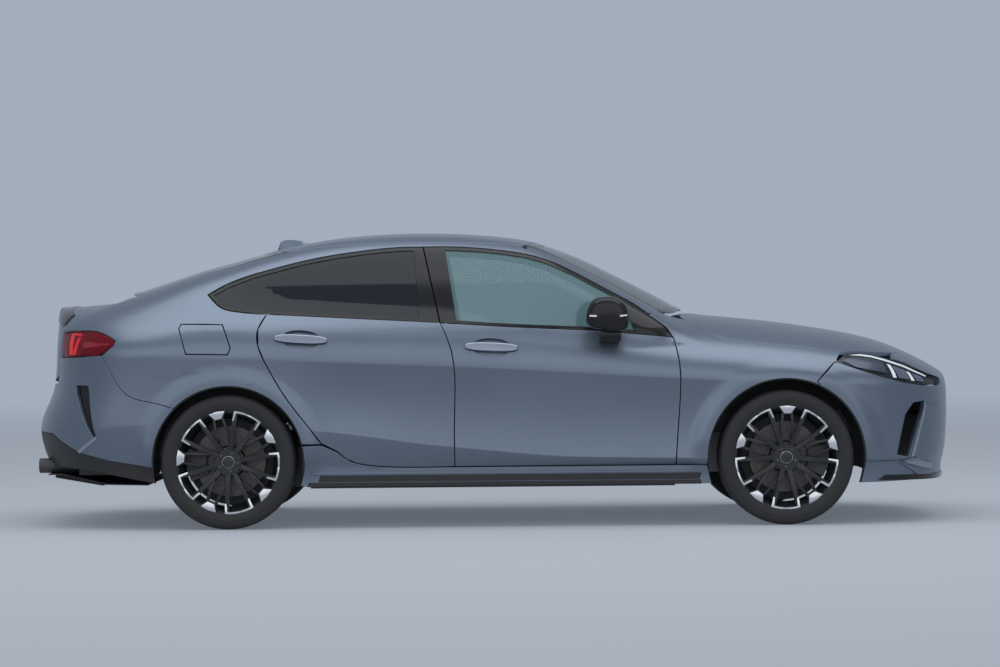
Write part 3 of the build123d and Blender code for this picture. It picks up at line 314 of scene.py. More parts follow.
def walked(loop, step):
    """Outline in even steps, its corners kept."""
    made = []
    for a, b in zip(loop, np.roll(loop, -1, axis=0)):
        count = max(1, int(round(np.hypot(*(b - a)) / step)))
        made += [a + (b - a) * i / count for i in range(count)]
    return np.array(made)


def section_angles(lift, shape, points):
    """The same points as stations and angles round the section centre."""
    q = hit(shape, *lift(np.array(points, float)))
    return [(float(x), float(np.degrees(np.arctan2(z - SECTION_CENTRE_Z, y)))) for x, y, z in q]


def spread(loops, step, creases=()):
    """Flat triangles that fill the first outline, leave out the others and follow the creases."""
    rims = [np.array(loop) for loop in loops]
    edge_points = np.concatenate(rims)
    low, high = edge_points.min(0), edge_points.max(0)
    grid = np.stack(np.meshgrid(*[np.arange(a + step / 2, b, step) for a, b in zip(low, high)]),
        -1).reshape(-1, 2)
    grid[:, 0] += np.where(np.round(grid[:, 1] / step).astype(int) % 2, step / 2, 0)
    kept = inside(rims[0], grid)
    for rim in rims[1:]:
        kept &= ~inside(rim, grid)
    grid = grid[kept]
    links, start = [], 0
    for rim in rims:
        links += [(start + i, start + (i + 1) % len(rim)) for i in range(len(rim))]
        start += len(rim)
    fixed = [edge_points]
    for line in creases:
        line = np.array(line)
        clear = inside(rims[0], line)
        for rim in rims[1:]:
            clear &= ~inside(rim, line)
        away = np.min(np.hypot(*(line[:, None] - edge_points[None]).transpose(2, 0, 1)), axis=1)
        clear &= away > 4
        index = np.cumsum(clear) - 1 + start
        links += [(int(index[i]), int(index[i + 1]))
            for i in range(len(line) - 1) if clear[i] and clear[i + 1]]
        fixed.append(line[clear])
        start += int(clear.sum())
    fixed = np.concatenate(fixed)
    near = np.min(np.hypot(grid[:, None, 0] - fixed[None, :, 0], grid[:, None, 1] - fixed[None, :, 1]),
        axis=1)
    points = np.concatenate([fixed, grid[near > 0.6 * step]])
    _, _, faces, back, _, _ = delaunay_2d_cdt([Vector(p) for p in points], links, [], 0, 1e-6)
    faces = np.array([[back[i][0] for i in face] for face in faces if all(back[i] for i in face)])
    middle = points[faces].mean(1)
    good = inside(rims[0], middle)
    for rim in rims[1:]:
        good &= ~inside(rim, middle)
    return points, untied(faces[good]), [len(rim) for rim in rims]


def boundary(faces):
    """Edges that only one of the flat triangles uses, each in that triangle's direction."""
    used = {(int(f[k]), int(f[(k + 1) % 3])) for f in faces for k in range(3)}
    return np.array(sorted((a, b) for a, b in used if (b, a) not in used))


def untied(faces):
    """Drops the slivers that hang on the other triangles by one corner alone."""
    while True:
        corners, uses = np.unique(boundary(faces), return_counts=True)
        tied = corners[uses > 2]
        if not len(tied):
            return faces
        dropped = set()
        for corner in tied:
            fans = []
            for i in np.nonzero((faces == corner).any(axis=1))[0]:
                others = set(faces[i].tolist()) - {int(corner)}
                joined = [fan for fan in fans if fan[0] & others]
                fans = [fan for fan in fans if not fan[0] & others]
                fans.append((others.union(*[fan[0] for fan in joined]),
                        [i] + [j for fan in joined for j in fan[1]]))
            fans.sort(key=lambda fan: len(fan[1]))
            dropped.update(j for fan in fans[:-1] for j in fan[1])
        if not dropped:
            return faces
        faces = np.delete(faces, sorted(dropped), axis=0)


def skin(lift, shape, outer, holes=(), scale=(1, 1), gap=SHUT, step=16.0, wall=16.0, depth=0.0,
        round_over=1.6, hole_gap=None, creases=()):
    """One body panel: outer face laid on the surface, rolled edges, side walls and an inner face."""
    scale = np.array(scale, float)
    loops = [np.array(outer, float) * scale] + [np.array(hole, float) * scale for hole in holes]
    hole_gap = gap if hole_gap is None else hole_gap
    rims, half_rolled, rolled = [], [], []
    for i, loop in enumerate(loops):
        sign = -1 if i == 0 else 1
        base = np.array(grown(loop, sign * (gap if i == 0 else hole_gap), step / 4))
        base = walked(base, step * 0.8)
        rims.append(np.array(grown(base, sign * round_over, 0.0)))
        half_rolled.append(np.array(grown(base, sign * round_over * 0.3, 0.0)))
        rolled.append(base)
    flat, faces, counts = spread(rims, step, [np.array(line) * scale for line in creases])
    origin, ray = lift(flat / scale)
    front = hit(shape, origin, ray)
    normals = facing(shape, front)
    turns = np.cross(front[faces[:, 1]] - front[faces[:, 0]], front[faces[:, 2]] - front[faces[:, 0]])
    if np.sum(turns * ray[faces[:, 0]]) < 0:
        faces = faces[:, ::-1]
    size, rim_size = len(flat), sum(counts)
    points = [front - depth * ray, front - (depth + wall) * ray]
    for ring, drop in ((half_rolled, 0.3 * round_over), (rolled, round_over)):
        start, along_ray = lift(np.concatenate(ring) / scale)
        level = front - (depth + drop) * ray
        level[:rim_size] = hit(shape, start, along_ray) - (depth + drop) * along_ray
        points.append(level)
    made = [tuple(f) for f in faces] + [tuple(f[::-1] + size) for f in faces]
    kinds = [0] * len(faces) + [1] * len(faces)
    edge = boundary(faces)
    levels = [edge, edge + 2 * size, edge + 3 * size, edge + size]
    for upper, under in zip(levels[:-1], levels[1:]):
        made += [(a, c, d, b) for (a, b), (c, d) in zip(upper, under)]
        kinds += [0] * len(edge)
    return np.concatenate(points), made, kinds, normals


def outwards(work):
    """Turns every face of a closed mesh to the outside and drops what no face uses."""
    bmesh.ops.delete(work, geom=[v for v in work.verts if not v.link_faces], context="VERTS")
    bmesh.ops.recalc_face_normals(work, faces=work.faces)
    if work.calc_volume(signed=True) < 0:
        bmesh.ops.reverse_faces(work, faces=work.faces)


def panel(name, rider, parts, finishes, node=None, mirrored=False):
    """Publishes the result of skin(), its outer face shaded by the surface itself."""
    points, faces, kinds, normals = parts
    mirror = np.array((1, -1, 1)) if mirrored else np.ones(3)
    work = bmesh.new()
    shading = work.verts.layers.float_vector.new("shading")
    made = [work.verts.new(p) for p in points * mirror * MM]
    for vertex, normal in zip(made, normals * mirror):
        vertex[shading] = normal
    for face, kind in zip(faces, kinds):
        work.faces.new([made[i] for i in face]).material_index = kind
    outwards(work)
    mesh = bpy.data.meshes.new(name)
    for finish in finishes:
        mesh.materials.append(finish)
    custom = []
    for face in work.faces:
        front = len(face.verts) == 3 and face.material_index == 0
        custom += [tuple(v[shading]) if front else (0, 0, 0) for v in face.verts]
    work.verts.layers.float_vector.remove(shading)
    work.to_mesh(mesh)
    work.free()
    mesh.polygons.foreach_set("use_smooth", np.ones(len(mesh.polygons), bool))
    mesh.set_sharp_from_angle(angle=math.radians(50))
    mesh.normals_split_custom_set(custom)
    piece = bpy.data.objects.new(name, mesh)
    scene.collection.objects.link(piece)
    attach(piece, rider)
    if node:
        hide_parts(node)
    return piece


def netted(rows, columns, round_again=False):
    """Faces between neighbouring rows of points, each row closed on itself."""
    return [(i * columns + j, i * columns + (j + 1) % columns,
            (i + 1) % rows * columns + (j + 1) % columns, (i + 1) % rows * columns + j)
        for i in range(rows if round_again else rows - 1) for j in range(columns)]


def turned(name, rider, axle, side, profile, finish, segments, sharp=35):
    """Ring turned about a wheel's axle from (offset outwards, radius) points, closed on itself."""
    angles = np.linspace(0, 2 * np.pi, segments, endpoint=False)
    y, r = np.array(profile, float).T
    points = np.stack([axle + r[None] * np.cos(angles)[:, None], side * (WHEEL_Y + y)[None]
            + 0 * angles[:, None], TYRE_R + r[None] * np.sin(angles)[:, None]], -1).reshape(-1, 3)
    return closed(name, rider, points, netted(segments, len(profile), True), finish, sharp)


def closed(name, rider, points, faces, finish, sharp=35):
    """Publishes a closed mesh with its faces turned outwards."""
    mesh = bpy.data.meshes.new(name)
    mesh.from_pydata((np.asarray(points) * MM).tolist(), [], [tuple(map(int, f)) for f in faces])
    mesh.materials.append(finish)
    work = bmesh.new()
    work.from_mesh(mesh)
    bmesh.ops.remove_doubles(work, verts=work.verts, dist=1e-6)
    outwards(work)
    work.to_mesh(mesh)
    work.free()
    mesh.polygons.foreach_set("use_smooth", np.ones(len(mesh.polygons), bool))
    mesh.set_sharp_from_angle(angle=math.radians(sharp))
    piece = bpy.data.objects.new(name, mesh)
    scene.collection.objects.link(piece)
    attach(piece, rider)
    return piece


def plates(name, rider, outlines, place, finish, bevel=1.5):
    """Flat outlines with a back and a front made solid, bevelled in front and put in place."""
    work = bmesh.new()
    for outline, back, front in outlines:
        low = [work.verts.new((u, w, back)) for u, w in outline]
        high = [work.verts.new((u, w, front)) for u, w in outline]
        work.faces.new(low)
        top = work.faces.new(high)
        for i in range(len(low)):
            k = (i + 1) % len(low)
            work.faces.new((low[i], low[k], high[k], high[i]))
        if bevel:
            bmesh.ops.bevel(work, geom=list(top.edges), offset=bevel, segments=2, profile=0.5,
                affect="EDGES")
    bmesh.ops.recalc_face_normals(work, faces=work.faces)
    points = np.array([v.co for v in work.verts])
    faces = [[v.index for v in f.verts] for f in work.faces]
    work.free()
    return closed(name, rider, place(points), faces, finish, 40)


# ---- finishes ------------------------------------------------------------------------------
class Wire:
    """A value socket that can be used in sums."""

    def __init__(self, shop, socket):
        self.shop, self.socket = shop, socket

    def __add__(self, other):
        return self.shop.node("ShaderNodeMath", {"operation": "ADD"}, {0: self, 1: other})

    def __mul__(self, other):
        return self.shop.node("ShaderNodeMath", {"operation": "MULTIPLY"}, {0: self, 1: other})


class Finish:
    """One material or the world: its nodes are added by node() and its surface by coat()."""

    def __init__(self, name, owner=None, kind="ShaderNodeOutputMaterial"):
        self.material = owner or bpy.data.materials.new(name)
        self.material.use_nodes = True
        self.tree = self.material.node_tree
        self.tree.nodes.clear()
        self.out = self.tree.nodes.new(kind)

    def node(self, kind, settings=None, values=None, output=0):
        made = self.tree.nodes.new(kind)
        for key, value in (settings or {}).items():
            if key == "stops":
                ramp = made.color_ramp
                while len(ramp.elements) < len(value):
                    ramp.elements.new(0.5)
                for element, (place, shade) in zip(ramp.elements, value):
                    element.position, element.color = place, shade
            else:
                setattr(made, key, value)
        for key, value in (values or {}).items():
            if isinstance(value, Wire):
                self.tree.links.new(value.socket, made.inputs[key])
            else:
                made.inputs[key].default_value = value
        return Wire(self, made.outputs[output])

    def surface(self, made):
        self.tree.links.new(made.socket, self.out.inputs["Surface"])
        return self.material

    def seen(self):
        """1 for what the lens, mirrors and glass see, 0 for what lights the rest."""
        rays = [self.node("ShaderNodeLightPath", output=f"Is {kind} Ray")
            for kind in ("Camera", "Glossy", "Transmission")]
        return rays[0] + rays[1] + rays[2]

    def place(self):
        return self.node("ShaderNodeTexCoord", output="Object")

    def noise(self, scale, detail=2.0):
        return self.node("ShaderNodeTexNoise", {},
            {"Vector": self.place(), "Scale": scale, "Detail": detail, "Roughness": 0.5})

    def tint(self, mask, a, b):
        return self.node("ShaderNodeMix", {"data_type": "RGBA"}, {0: mask, 6: (*a, 1), 7: (*b, 1)},
            output=2)

    def bump(self, height, strength, distance):
        return self.node("ShaderNodeBump", {},
            {"Height": height, "Strength": strength, "Distance": distance})

    def coat(self, **values):
        named = {key.replace("_", " ").title().replace("Ior", "IOR"): value
            for key, value in values.items()}
        return self.surface(self.node("ShaderNodeBsdfPrincipled", {}, named))


def shade(*rgb):
    return (*rgb, 1.0)


def make_paint():
    f = Finish("satin_metallic_paint")
    flake = f.noise(1400.0, 1.0)
    cloud = f.noise(1.3, 2.0)
    mask = flake * 0.35 + cloud * 0.5
    return f.coat(base_color=f.tint(mask, (0.120, 0.152, 0.196), (0.180, 0.222, 0.278)), metallic=0.78,
        roughness=f.noise(3.0, 2.0) * 0.06 + 0.34, coat_weight=0.35, coat_roughness=0.2,
        normal=f.bump(flake, 0.02, 0.0004))


def make_plain(name, dark, light, roughness, metallic=0.0, grain=300.0, depth=0.05, spread=0.08,
        **more):
    f = Finish(name)
    speck = f.noise(grain, 3.0)
    return f.coat(base_color=f.tint(speck, dark, light), metallic=metallic,
        roughness=speck * spread + roughness, normal=f.bump(speck, depth, 0.0006), **more)


def make_glass(name, colour, alpha):
    f = Finish(name)
    film = f.noise(2.0, 1.0)
    return f.coat(base_color=f.tint(film, colour, tuple(1.15 * c for c in colour)), metallic=0.0,
        roughness=film * 0.02 + 0.03, alpha=alpha, ior=1.45, specular_ior_level=0.3)


PAINT = make_paint()
GLOSS_BLACK = make_plain("gloss_black", (0.008, 0.008, 0.009), (0.014, 0.014, 0.016), 0.12, grain=40,
    depth=0.01, spread=0.05, specular_ior_level=0.3)
SATIN_BLACK = make_plain("moulded_black", (0.012, 0.012, 0.013), (0.022, 0.022, 0.024), 0.5, grain=900,
    depth=0.1)
RUBBER = make_plain("tyre_rubber", (0.014, 0.014, 0.015), (0.028, 0.028, 0.029), 0.72, grain=260,
    depth=0.12)
SILVER = make_plain("machined_alloy", (0.60, 0.61, 0.63), (0.72, 0.73, 0.75), 0.2, metallic=1.0,
    grain=700, depth=0.03)
STEEL = make_plain("primed_steel", (0.06, 0.06, 0.065), (0.10, 0.10, 0.105), 0.5, metallic=0.6,
    grain=60)
CAST = make_plain("cast_metal", (0.22, 0.22, 0.23), (0.33, 0.33, 0.34), 0.5, metallic=0.9, grain=500,
    depth=0.2)
LEATHER = make_plain("seat_leather", (0.02, 0.02, 0.023), (0.035, 0.035, 0.04), 0.45, grain=420,
    depth=0.25)
# Lighter copy of the body paint: a painted highlight where light falls on the door pulls, the nose
# blade and shelf and the tail blade.
PAINT_HIGHLIGHT = make_plain("lighter_paint_painted_highlight", (0.24, 0.28, 0.33), (0.33, 0.37, 0.43), 0.28, metallic=0.8,
    grain=900, depth=0.02)
CLEAR = make_glass("front_door_glass", (0.14, 0.25, 0.27), 0.40)
DARK = make_glass("privacy_glass", (0.012, 0.015, 0.02), 0.96)
SCREEN = make_glass("screen_glass", (0.10, 0.14, 0.15), 0.6)
LAMP_RED = make_glass("lamp_red", (0.16, 0.004, 0.010), 0.55)
LAMP_CLEAR = make_glass("lamp_clear", (0.02, 0.025, 0.03), 0.12)


def make_glow(name, colour, strength):
    f = Finish(name)
    band = f.noise(60.0, 1.0)
    return f.coat(base_color=f.tint(band, colour, tuple(min(1, 1.1 * c) for c in colour)),
        roughness=0.2, emission_color=shade(*colour), emission_strength=strength, coat_weight=0.6)


WHEEL_BLACK = make_plain("wheel_black", (0.008, 0.009, 0.011), (0.014, 0.015, 0.018), 0.3, grain=90,
    depth=0.01)
DISC = make_plain("brake_disc", (0.10, 0.095, 0.09), (0.17, 0.16, 0.155), 0.42, metallic=1.0, grain=90,
    depth=0.06)
LIGHT_BAR = make_glow("running_light", (0.80, 0.86, 0.90), 0.35)
RED_BAR = make_glow("tail_light", (0.85, 0.03, 0.03), 0.9)
RED_DIM = make_glow("tail_light_dim", (0.40, 0.05, 0.06), 0.25)
CLEAR_TRIM = make_glow("indicator_strip", (0.62, 0.60, 0.56), 0.1)
PROJECTOR = make_plain("projector_lens", (0.10, 0.30, 0.33), (0.34, 0.20, 0.42), 0.08, metallic=0.6,
    grain=18, depth=0.0, coat_weight=1.0, coat_roughness=0.02)
LAMP_BOWL = make_plain("lamp_bowl", (0.02, 0.024, 0.03), (0.05, 0.055, 0.065), 0.22, metallic=0.5,
    grain=80, depth=0.02)
LAMP_SHELF = make_plain("lamp_shelf", (0.10, 0.12, 0.17), (0.16, 0.18, 0.24), 0.2, metallic=0.7,
    grain=120, depth=0.02)
LAMP_RED_DEEP = make_plain("lamp_red_deep", (0.10, 0.004, 0.006), (0.20, 0.008, 0.012), 0.25, grain=50,
    depth=0.02, coat_weight=0.6)


def dress(material, *names):
    """Gives a solid that is shown as it is its finish."""
    for name in names:
        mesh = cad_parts[name].data
        mesh.materials.clear()
        mesh.materials.append(material)


def both(*stems):
    return [f"{stem}_{side}" for stem in stems for side in ("left", "right")]


dress(STEEL, "floor_pan", "suspension", "exhaust", "rear_knuckles", *both("knuckle_front"))
dress(CAST, "engine")
dress(SATIN_BLACK, "wheel_arch_liners", "rear_diffuser", "grille")


def crease_lines(on_sections=False):
    """The two lines pressed into the side, each with a close line above and below it."""
    made = []
    for line, low, high in ((tuck_z, -900, 1010), (crease_z, -1000, 1150)):
        for shift in (-3.0, 0.0, 3.0):
            points = [(float(x), float(line(x)) + shift) for x in np.arange(low, high, 14.0)]
            made.append(section(points) if on_sections else points)
    return made


# ---- panels ----------------------------------------------------------------------------------
BODYWORK = [PAINT, SATIN_BLACK]      # outer face and the hidden inner face
SIDE = dict(lift=from_side, shape=body)
SECTION = dict(lift=round_section, shape=body, scale=(1, DEGREE))
ABOVE = dict(lift=from_above, shape=body)
NOSE = dict(lift=round_nose, shape=lower, scale=(DEGREE, 1.4))
TAIL = dict(lift=round_tail, shape=lower, scale=(DEGREE, 1.2))
DECK = dict(lift=over_deck, shape=lower, scale=(5.0, 1))


def pair(stem, rider, parts, finishes, replaced=True):
    """The left piece and its twin on the right, on the body of that side."""
    for side, mirrored in (("left", False), ("right", True)):
        body_name = rider if rider == "car_body" else f"{rider}_{side}"
        node = f"{stem}_{side}" if replaced else None
        panel(f"{stem}_{side}_shown", body_name, parts, finishes, node, mirrored)


def trim(name, chart, outline, finish, slot, twin=True, rider="car_body", gap=0.0, **how):
    """Part of one finish that stands for no solid: one on each side, or one across the middle."""
    parts = skin(outer=outline, gap=gap, **how, **chart)
    if twin:
        pair(name, rider, parts, [finish] * 2, replaced=False)
    else:
        panel(name, rider, parts, [finish] * 2, None)

def dense(edge, count=15):
    return [tuple(p) for p in along(edge, count)]


def across(edge, far, near, count):
    """Outline across the car: a left edge, the far end, the right edge and the near end."""
    left = dense(edge, count)
    right = [(x, -y) for x, y in left[::-1][1:]]
    return left + dense(full(far)[::-1], 24)[1:] + right + dense(full(near), 24)[1:-1]


def arc(x, r, start, end, count):
    """Points of a wheel arch between two angles."""
    turn = np.radians(np.linspace(start, end, count))
    return [(x + r * c, TYRE_R + r * s) for c, s in zip(np.cos(turn), np.sin(turn))]


def section(points):
    return section_angles(from_side, body, points)


def section_down(points):
    return section_angles(from_above, body, points)


def oval(x, z, half_x, half_z, power, slope=0.0, count=44):
    turn = math.radians(slope)
    made = []
    for a in np.linspace(0, 2 * np.pi, count, endpoint=False):
        u = half_x * np.sign(np.cos(a)) * abs(np.cos(a)) ** power
        w = half_z * np.sign(np.sin(a)) * abs(np.sin(a)) ** power
        made.append((x + u * math.cos(turn) - w * math.sin(turn),
                z + u * math.sin(turn) + w * math.cos(turn)))
    return made


def trimmed(loop, a, b):
    """The part of a closed outline left of the line from a to b."""
    kept = []
    side = [(b[0] - a[0]) * (p[1] - a[1]) - (b[1] - a[1]) * (p[0] - a[0]) for p in loop]
    for i, p in enumerate(loop):
        k = (i + 1) % len(loop)
        if side[i] >= 0:
            kept.append(p)
        if side[i] * side[k] < 0:
            t = side[i] / (side[i] - side[k])
            kept.append((p[0] + t * (loop[k][0] - p[0]), p[1] + t * (loop[k][1] - p[1])))
    return kept


FRONT_GLASS = smooth(GLASS_SPLIT[::-1], BELT_FRONT, GLASS_TOP_FRONT[::-1])
REAR_GLASS = smooth(GLASS_REAR_TIP, BELT_REAR, GLASS_SPLIT, GLASS_TOP_REAR[::-1])
FRONT_DOOR = smooth(DOOR_SPLIT, raised(BELT_FRONT, DOOR_LIP), DOOR_FRONT_EDGE[::-1])
REAR_DOOR = smooth(DOOR_REAR_FOOT[::-1], DOOR_REAR_EDGE, raised(BELT_REAR, DOOR_LIP), DOOR_SPLIT[::-1])
for end, outline, (x, z, slope) in (("front", FRONT_DOOR, (-16, 862, -2.5)),
        ("rear", REAR_DOOR, (-926, 908, -3.5))):
    cup = oval(x, z, 92, 42, 0.9, slope)
    rider = f"{end}_door"
    pair(f"door_{end}", rider, skin(outer=outline, holes=[cup], hole_gap=0.0, wall=40, step=18,
            creases=crease_lines(), **SIDE), BODYWORK)
    pair(f"door_{end}_cup", rider,
        skin(outer=oval(x, z, 94, 44, 0.9, slope), depth=16, wall=4, gap=0.0, step=14, **SIDE),
        BODYWORK, replaced=False)
    # The pull and its feet take the lighter copy of the paint, a painted highlight.
    trim(f"door_{end}_pull", SIDE, oval(x, z + 2, 127, 21, 0.72, slope, 60), PAINT_HIGHLIGHT, "body_paint",
        rider=rider, depth=-21, wall=12, step=7, round_over=5)
    for step in (-106, 106):
        trim(f"door_{end}_pull_foot_{'ab'[step > 0]}", SIDE,
            oval(x + step, z + 2 - step * 0.05, 13, 10, 0.6, slope, 24), PAINT_HIGHLIGHT, "body_paint",
            rider=rider, depth=-12, wall=20, step=7)

# side glass, its black frame and the cover between the two panes
for end, outline, line, finish in (("front", FRONT_GLASS, ((-236, 1322), (-182, 994)), CLEAR),
        ("rear", REAR_GLASS, ((-362, 1006), (-387, 1317)), DARK)):
    opening = trimmed(grown(outline, -19), *line)
    if end == "front":
        opening = trimmed(opening, (690, 900), (560, 1160))
    pair(f"glass_{end}", f"{end}_door",
        skin(outer=section(grown(outline, -6)), depth=4, wall=4, gap=0.0, step=26, **SECTION),
        [finish] * 2)
    pair(f"window_frame_{end}", f"{end}_door", skin(outer=section(grown(outline, -2.5)),
            holes=[section(opening)], hole_gap=0.0, depth=0.5, wall=5, gap=0.0, step=16, **SECTION),
        [GLOSS_BLACK, SATIN_BLACK], replaced=False)

# rail over the doors, rear quarter and the panel round the tail
quarter_arch = arc(REAR_AXLE, ARCH_REAR_R, 134.5, 13, 40)
side_outline = (
    section_down(dense(SCREEN_SIDE[::-1]) + dense(ROOF_SIDE[::-1])[1:] + dense(BACKLIGHT_SIDE)[1:]
        + [(-1790, 515), (-1828, 545), (-1923, 575), (-2022, 570), (-2110, 532)])
    + section([(-2108, 959), (-2011, 958), (-1922, 956), (-1880, 943), (-1817, 909), (-1828, 885)])
    + section(dense(BUMPER_REAR_LINE)) + section(quarter_arch) + section([(-830, 405)])
    + section(dense(DOOR_REAR_EDGE, 30)[4:]) + section(dense(GLASS_REAR_TIP[::-1], 24)[1:])
    + section(dense(GLASS_TOP_REAR, 40)[1:])
    + section(dense(GLASS_TOP_FRONT, 40)[1:-4] + [(742, 1015)]))
for side, hole in (("left", []), ("right", [section(FUEL_FLAP)])):
    parts = skin(outer=side_outline, holes=hole, step=18, wall=20, creases=crease_lines(True),
        **SECTION)
    panel(f"body_side_{side}_shown", "car_body", parts, BODYWORK, f"body_side_{side}",
        side == "right")
panel("fuel_flap_shown", "fuel_flap", skin(outer=FUEL_FLAP, wall=7, step=16, **SIDE), BODYWORK,
    "fuel_flap", True)
skirt = ([(-924, 401), (-832, 401), (-758, 368)] + dense(DOOR_REAR_FOOT, 14)[1:-1]
    + [(861, DOOR_BOTTOM), (1012, 290)] + arc(FRONT_AXLE, ARCH_FRONT_R, 186, 199, 5)
    + [(960, 199), (-900, 199)] + arc(REAR_AXLE, ARCH_REAR_R, -19, 12, 9))
pair("skirt", "car_body", skin(outer=skirt, step=16, wall=30, **SIDE), BODYWORK, replaced=False)
fender = (
    section([(863, 290)] + dense(DOOR_FRONT_EDGE, 24)[1:] + [(826, 950), (744, 1012), (768, 1040)])
    + section_down([(812, 645)] + dense(BONNET_REAR[4:], 8) + dense(BONNET_SIDE[:-1], 16)[1:])
    + section([(1641, 790), (1641, 775), (1626, 775), (1539, 686)])
    + section(arc(FRONT_AXLE, ARCH_FRONT_R, 65, 185, 44)))
pair("fender", "car_body", skin(outer=fender, step=16, wall=20, creases=crease_lines(True), **SECTION),
    BODYWORK)

bonnet = dense(BONNET_REAR, 20) + dense(BONNET_SIDE, 24)[1:] + dense(BONNET_FRONT, 20)[-2::-1]
bonnet = bonnet + [(x, -y) for x, y in bonnet[-2:0:-1]]
panel("bonnet_shown", "bonnet", skin(outer=bonnet, lift=from_above, shape=lower, step=20, wall=18),
    BODYWORK, "bonnet")
roof = across(ROOF_SIDE, SCREEN_TOP, BACKLIGHT_TOP, 24)
panel("roof_shown", "car_body", skin(outer=roof, step=22, wall=20, **ABOVE), BODYWORK, "roof_panel")
for name, near, far, edge in (("windscreen", SCREEN_TOP, SCREEN_FOOT, SCREEN_SIDE),
        ("rear_window", BACKLIGHT_FOOT, BACKLIGHT_TOP, BACKLIGHT_SIDE[::-1])):
    ring = across(edge, far, near, 20)
    panel(f"{name}_shown", "car_body", skin(outer=ring, step=26, wall=5, depth=3, gap=1.0, **ABOVE),
        [SCREEN if name == "windscreen" else DARK] * 2, name)
    panel(f"{name}_border", "car_body", skin(outer=ring, holes=[grown(ring, -34)], hole_gap=0.0,
            step=20, wall=2.5, depth=1.5, gap=3.0, **ABOVE), [GLOSS_BLACK] * 2, None)


def on_chart(lift_from, centre_x, points):
    """Outline points, given from the side or above, as turn about an axle and height."""
    q = hit(lower, *lift_from(np.array(points, float)))
    return [(float(np.degrees(np.arctan2(y, x - centre_x))) % 360, z) for x, y, z in q]


def front_turns(points):
    return on_chart(from_side, FRONT_AXLE, points)


def rear_turns(points):
    return on_chart(from_side, REAR_AXLE, points)


def on_deck(points):
    q = hit(lower, *from_above(np.array(points, float)))
    return [(float(np.degrees(np.arctan2(z - DECK_CENTRE[1], x - DECK_CENTRE[0]))) % 360, y)
        for x, y, z in q]


half_lid = on_deck([(-1790, 0.0), (-1790, 260), (-1790, 515), (-1828, 545), (-1923, 575), (-2022, 570),
        (-2110, 532)])
half_lid += [(157, 517), (165, 517), (180, 517), (195, 517), (205.5, 510), (206.4, 490), (206.4, 0)]
lid = half_lid + [(a, -y) for a, y in half_lid[-2:0:-1]]
panel("boot_lid_shown", "boot_lid", skin(outer=lid, step=18, wall=18, **DECK), BODYWORK, "boot_lid")

# nose
arch_front = arc(FRONT_AXLE, ARCH_FRONT_R, -19.5, 65, 30)
half_nose = ([(0.0, 222.0), (20, 218), (40, 210)] + front_turns([(2000, 203), (1850, 199)] + arch_front
        + [(1539, 686), (1626, 775), (1641, 775), (1745, 738), (1854, 703), (1964, 674), (2057, 660),
            (2150, 656), (2178, 668), (2172, 690), (2102, 712), (2032, 742), (1979, 767), (1925, 785)])
    + on_chart(from_above, FRONT_AXLE,
        [(1925, 634), (1962, 575), (1990, 480), (2008, 380), (2017, 280), (2025, 150)])
    + [(0.0, float(on_chart(from_above, FRONT_AXLE, [(2030, 0.01)])[0][1]))])
nose = half_nose + [(-a, z) for a, z in half_nose[-2:0:-1]]
CORNER = [(2072, 586), (2010, 577), (1968, 520), (1940, 400), (1925, 330), (1984, 318), (2066, 545)]
corner = front_turns(walked(np.array(CORNER, float), 14))
intake = [(-27, 240), (27, 240), (29, 262), (27.5, 345), (-27.5, 345), (-29, 262)]
grille = [(-19, 482), (19, 482), (21.5, 490), (22.5, 560), (21, 632), (18, 646), (-18, 646), (-21, 632),
    (-22.5, 560), (-21.5, 490)]
openings = [grille, intake, corner, [(-a, z) for a, z in corner]]
panel("front_bumper_shown", "car_body",
    skin(outer=nose, holes=openings, hole_gap=0.0, step=15, wall=26, **NOSE), BODYWORK, "front_bumper")

# tail
def tail_turn(y, z):
    """Turn about the rear axle at which the tail is y wide at height z."""
    turns = np.linspace(135, 165, 121)
    return float(np.interp(-y, -hit(lower, *round_tail(np.stack([turns, 0 * turns + z], -1)))[:, 1],
            turns))


half_tail = (rear_turns([(-1906, 838), (-2000, 831), (-2090, 828)])
    + [(tail_turn(523, z), z) for z in (827.0, 760.0, 697.5)] + [(165, 697.5), (180, 697.5)])
arch_top = arc(REAR_AXLE, ARCH_REAR_R, 134.5, 183.8, 22)
low_tail = ([(180.0, 470.0), (165, 469)] + rear_turns([(-2150, 462), (-2006, 372), (-1850, 332)]
        + arch_top[::-1] + dense(BUMPER_REAR_LINE[::-1])[1:]))
tail_loop = half_tail[:-1] + [(360 - a, z) for a, z in half_tail[::-1]] + [(360 - a, z)
    for a, z in low_tail[::-1]] + low_tail[1:]
vents = []
for sign in (1, -1):
    vent = rear_turns([(-2022, 694), (-1956, 694), (-1946, 593), (-1914, 445), (-1930, 449),
            (-2019, 658)])
    vents.append([(a if sign > 0 else 360 - a, z) for a, z in vent])
panel("rear_bumper_shown", "car_body",
    skin(outer=tail_loop, holes=vents, hole_gap=0.0, gap=1.0, depth=1.0, step=16, wall=24, **TAIL),
    BODYWORK, "rear_bumper")

# lamps
lamp_outline = front_turns([(1641, 775), (1692, 814), (1755, 822), (1813, 815), (1875, 799),
        (1979, 765), (2032, 739), (2102, 709), (2172, 688), (2176, 668), (2150, 657), (2057, 660),
        (1964, 674), (1854, 703), (1745, 738)])
trim("headlamp_lens", NOSE, lamp_outline, LAMP_CLEAR, "lamp_clear", step=14, wall=5, depth=1, gap=2.0)
tail_outline = rear_turns([(-1817, 909), (-1880, 943), (-1922, 956), (-2011, 957), (-2090, 956),
        (-2110, 955), (-2112, 830), (-2090, 828), (-1906, 838), (-1828, 885)])
trim("tail_lamp_lens", TAIL, tail_outline, LAMP_RED, "lamp_red", step=12, wall=5, depth=1, gap=2.0)
dress(SATIN_BLACK, "dashboard", "steering_wheel")

# ---- wheels ----------------------------------------------------------------------------------
def polar(r, degrees):
    return r * math.cos(math.radians(degrees)), r * math.sin(math.radians(degrees))


def ringed(r, start, end, count):
    return [polar(r, a) for a in np.linspace(start, end, count)]


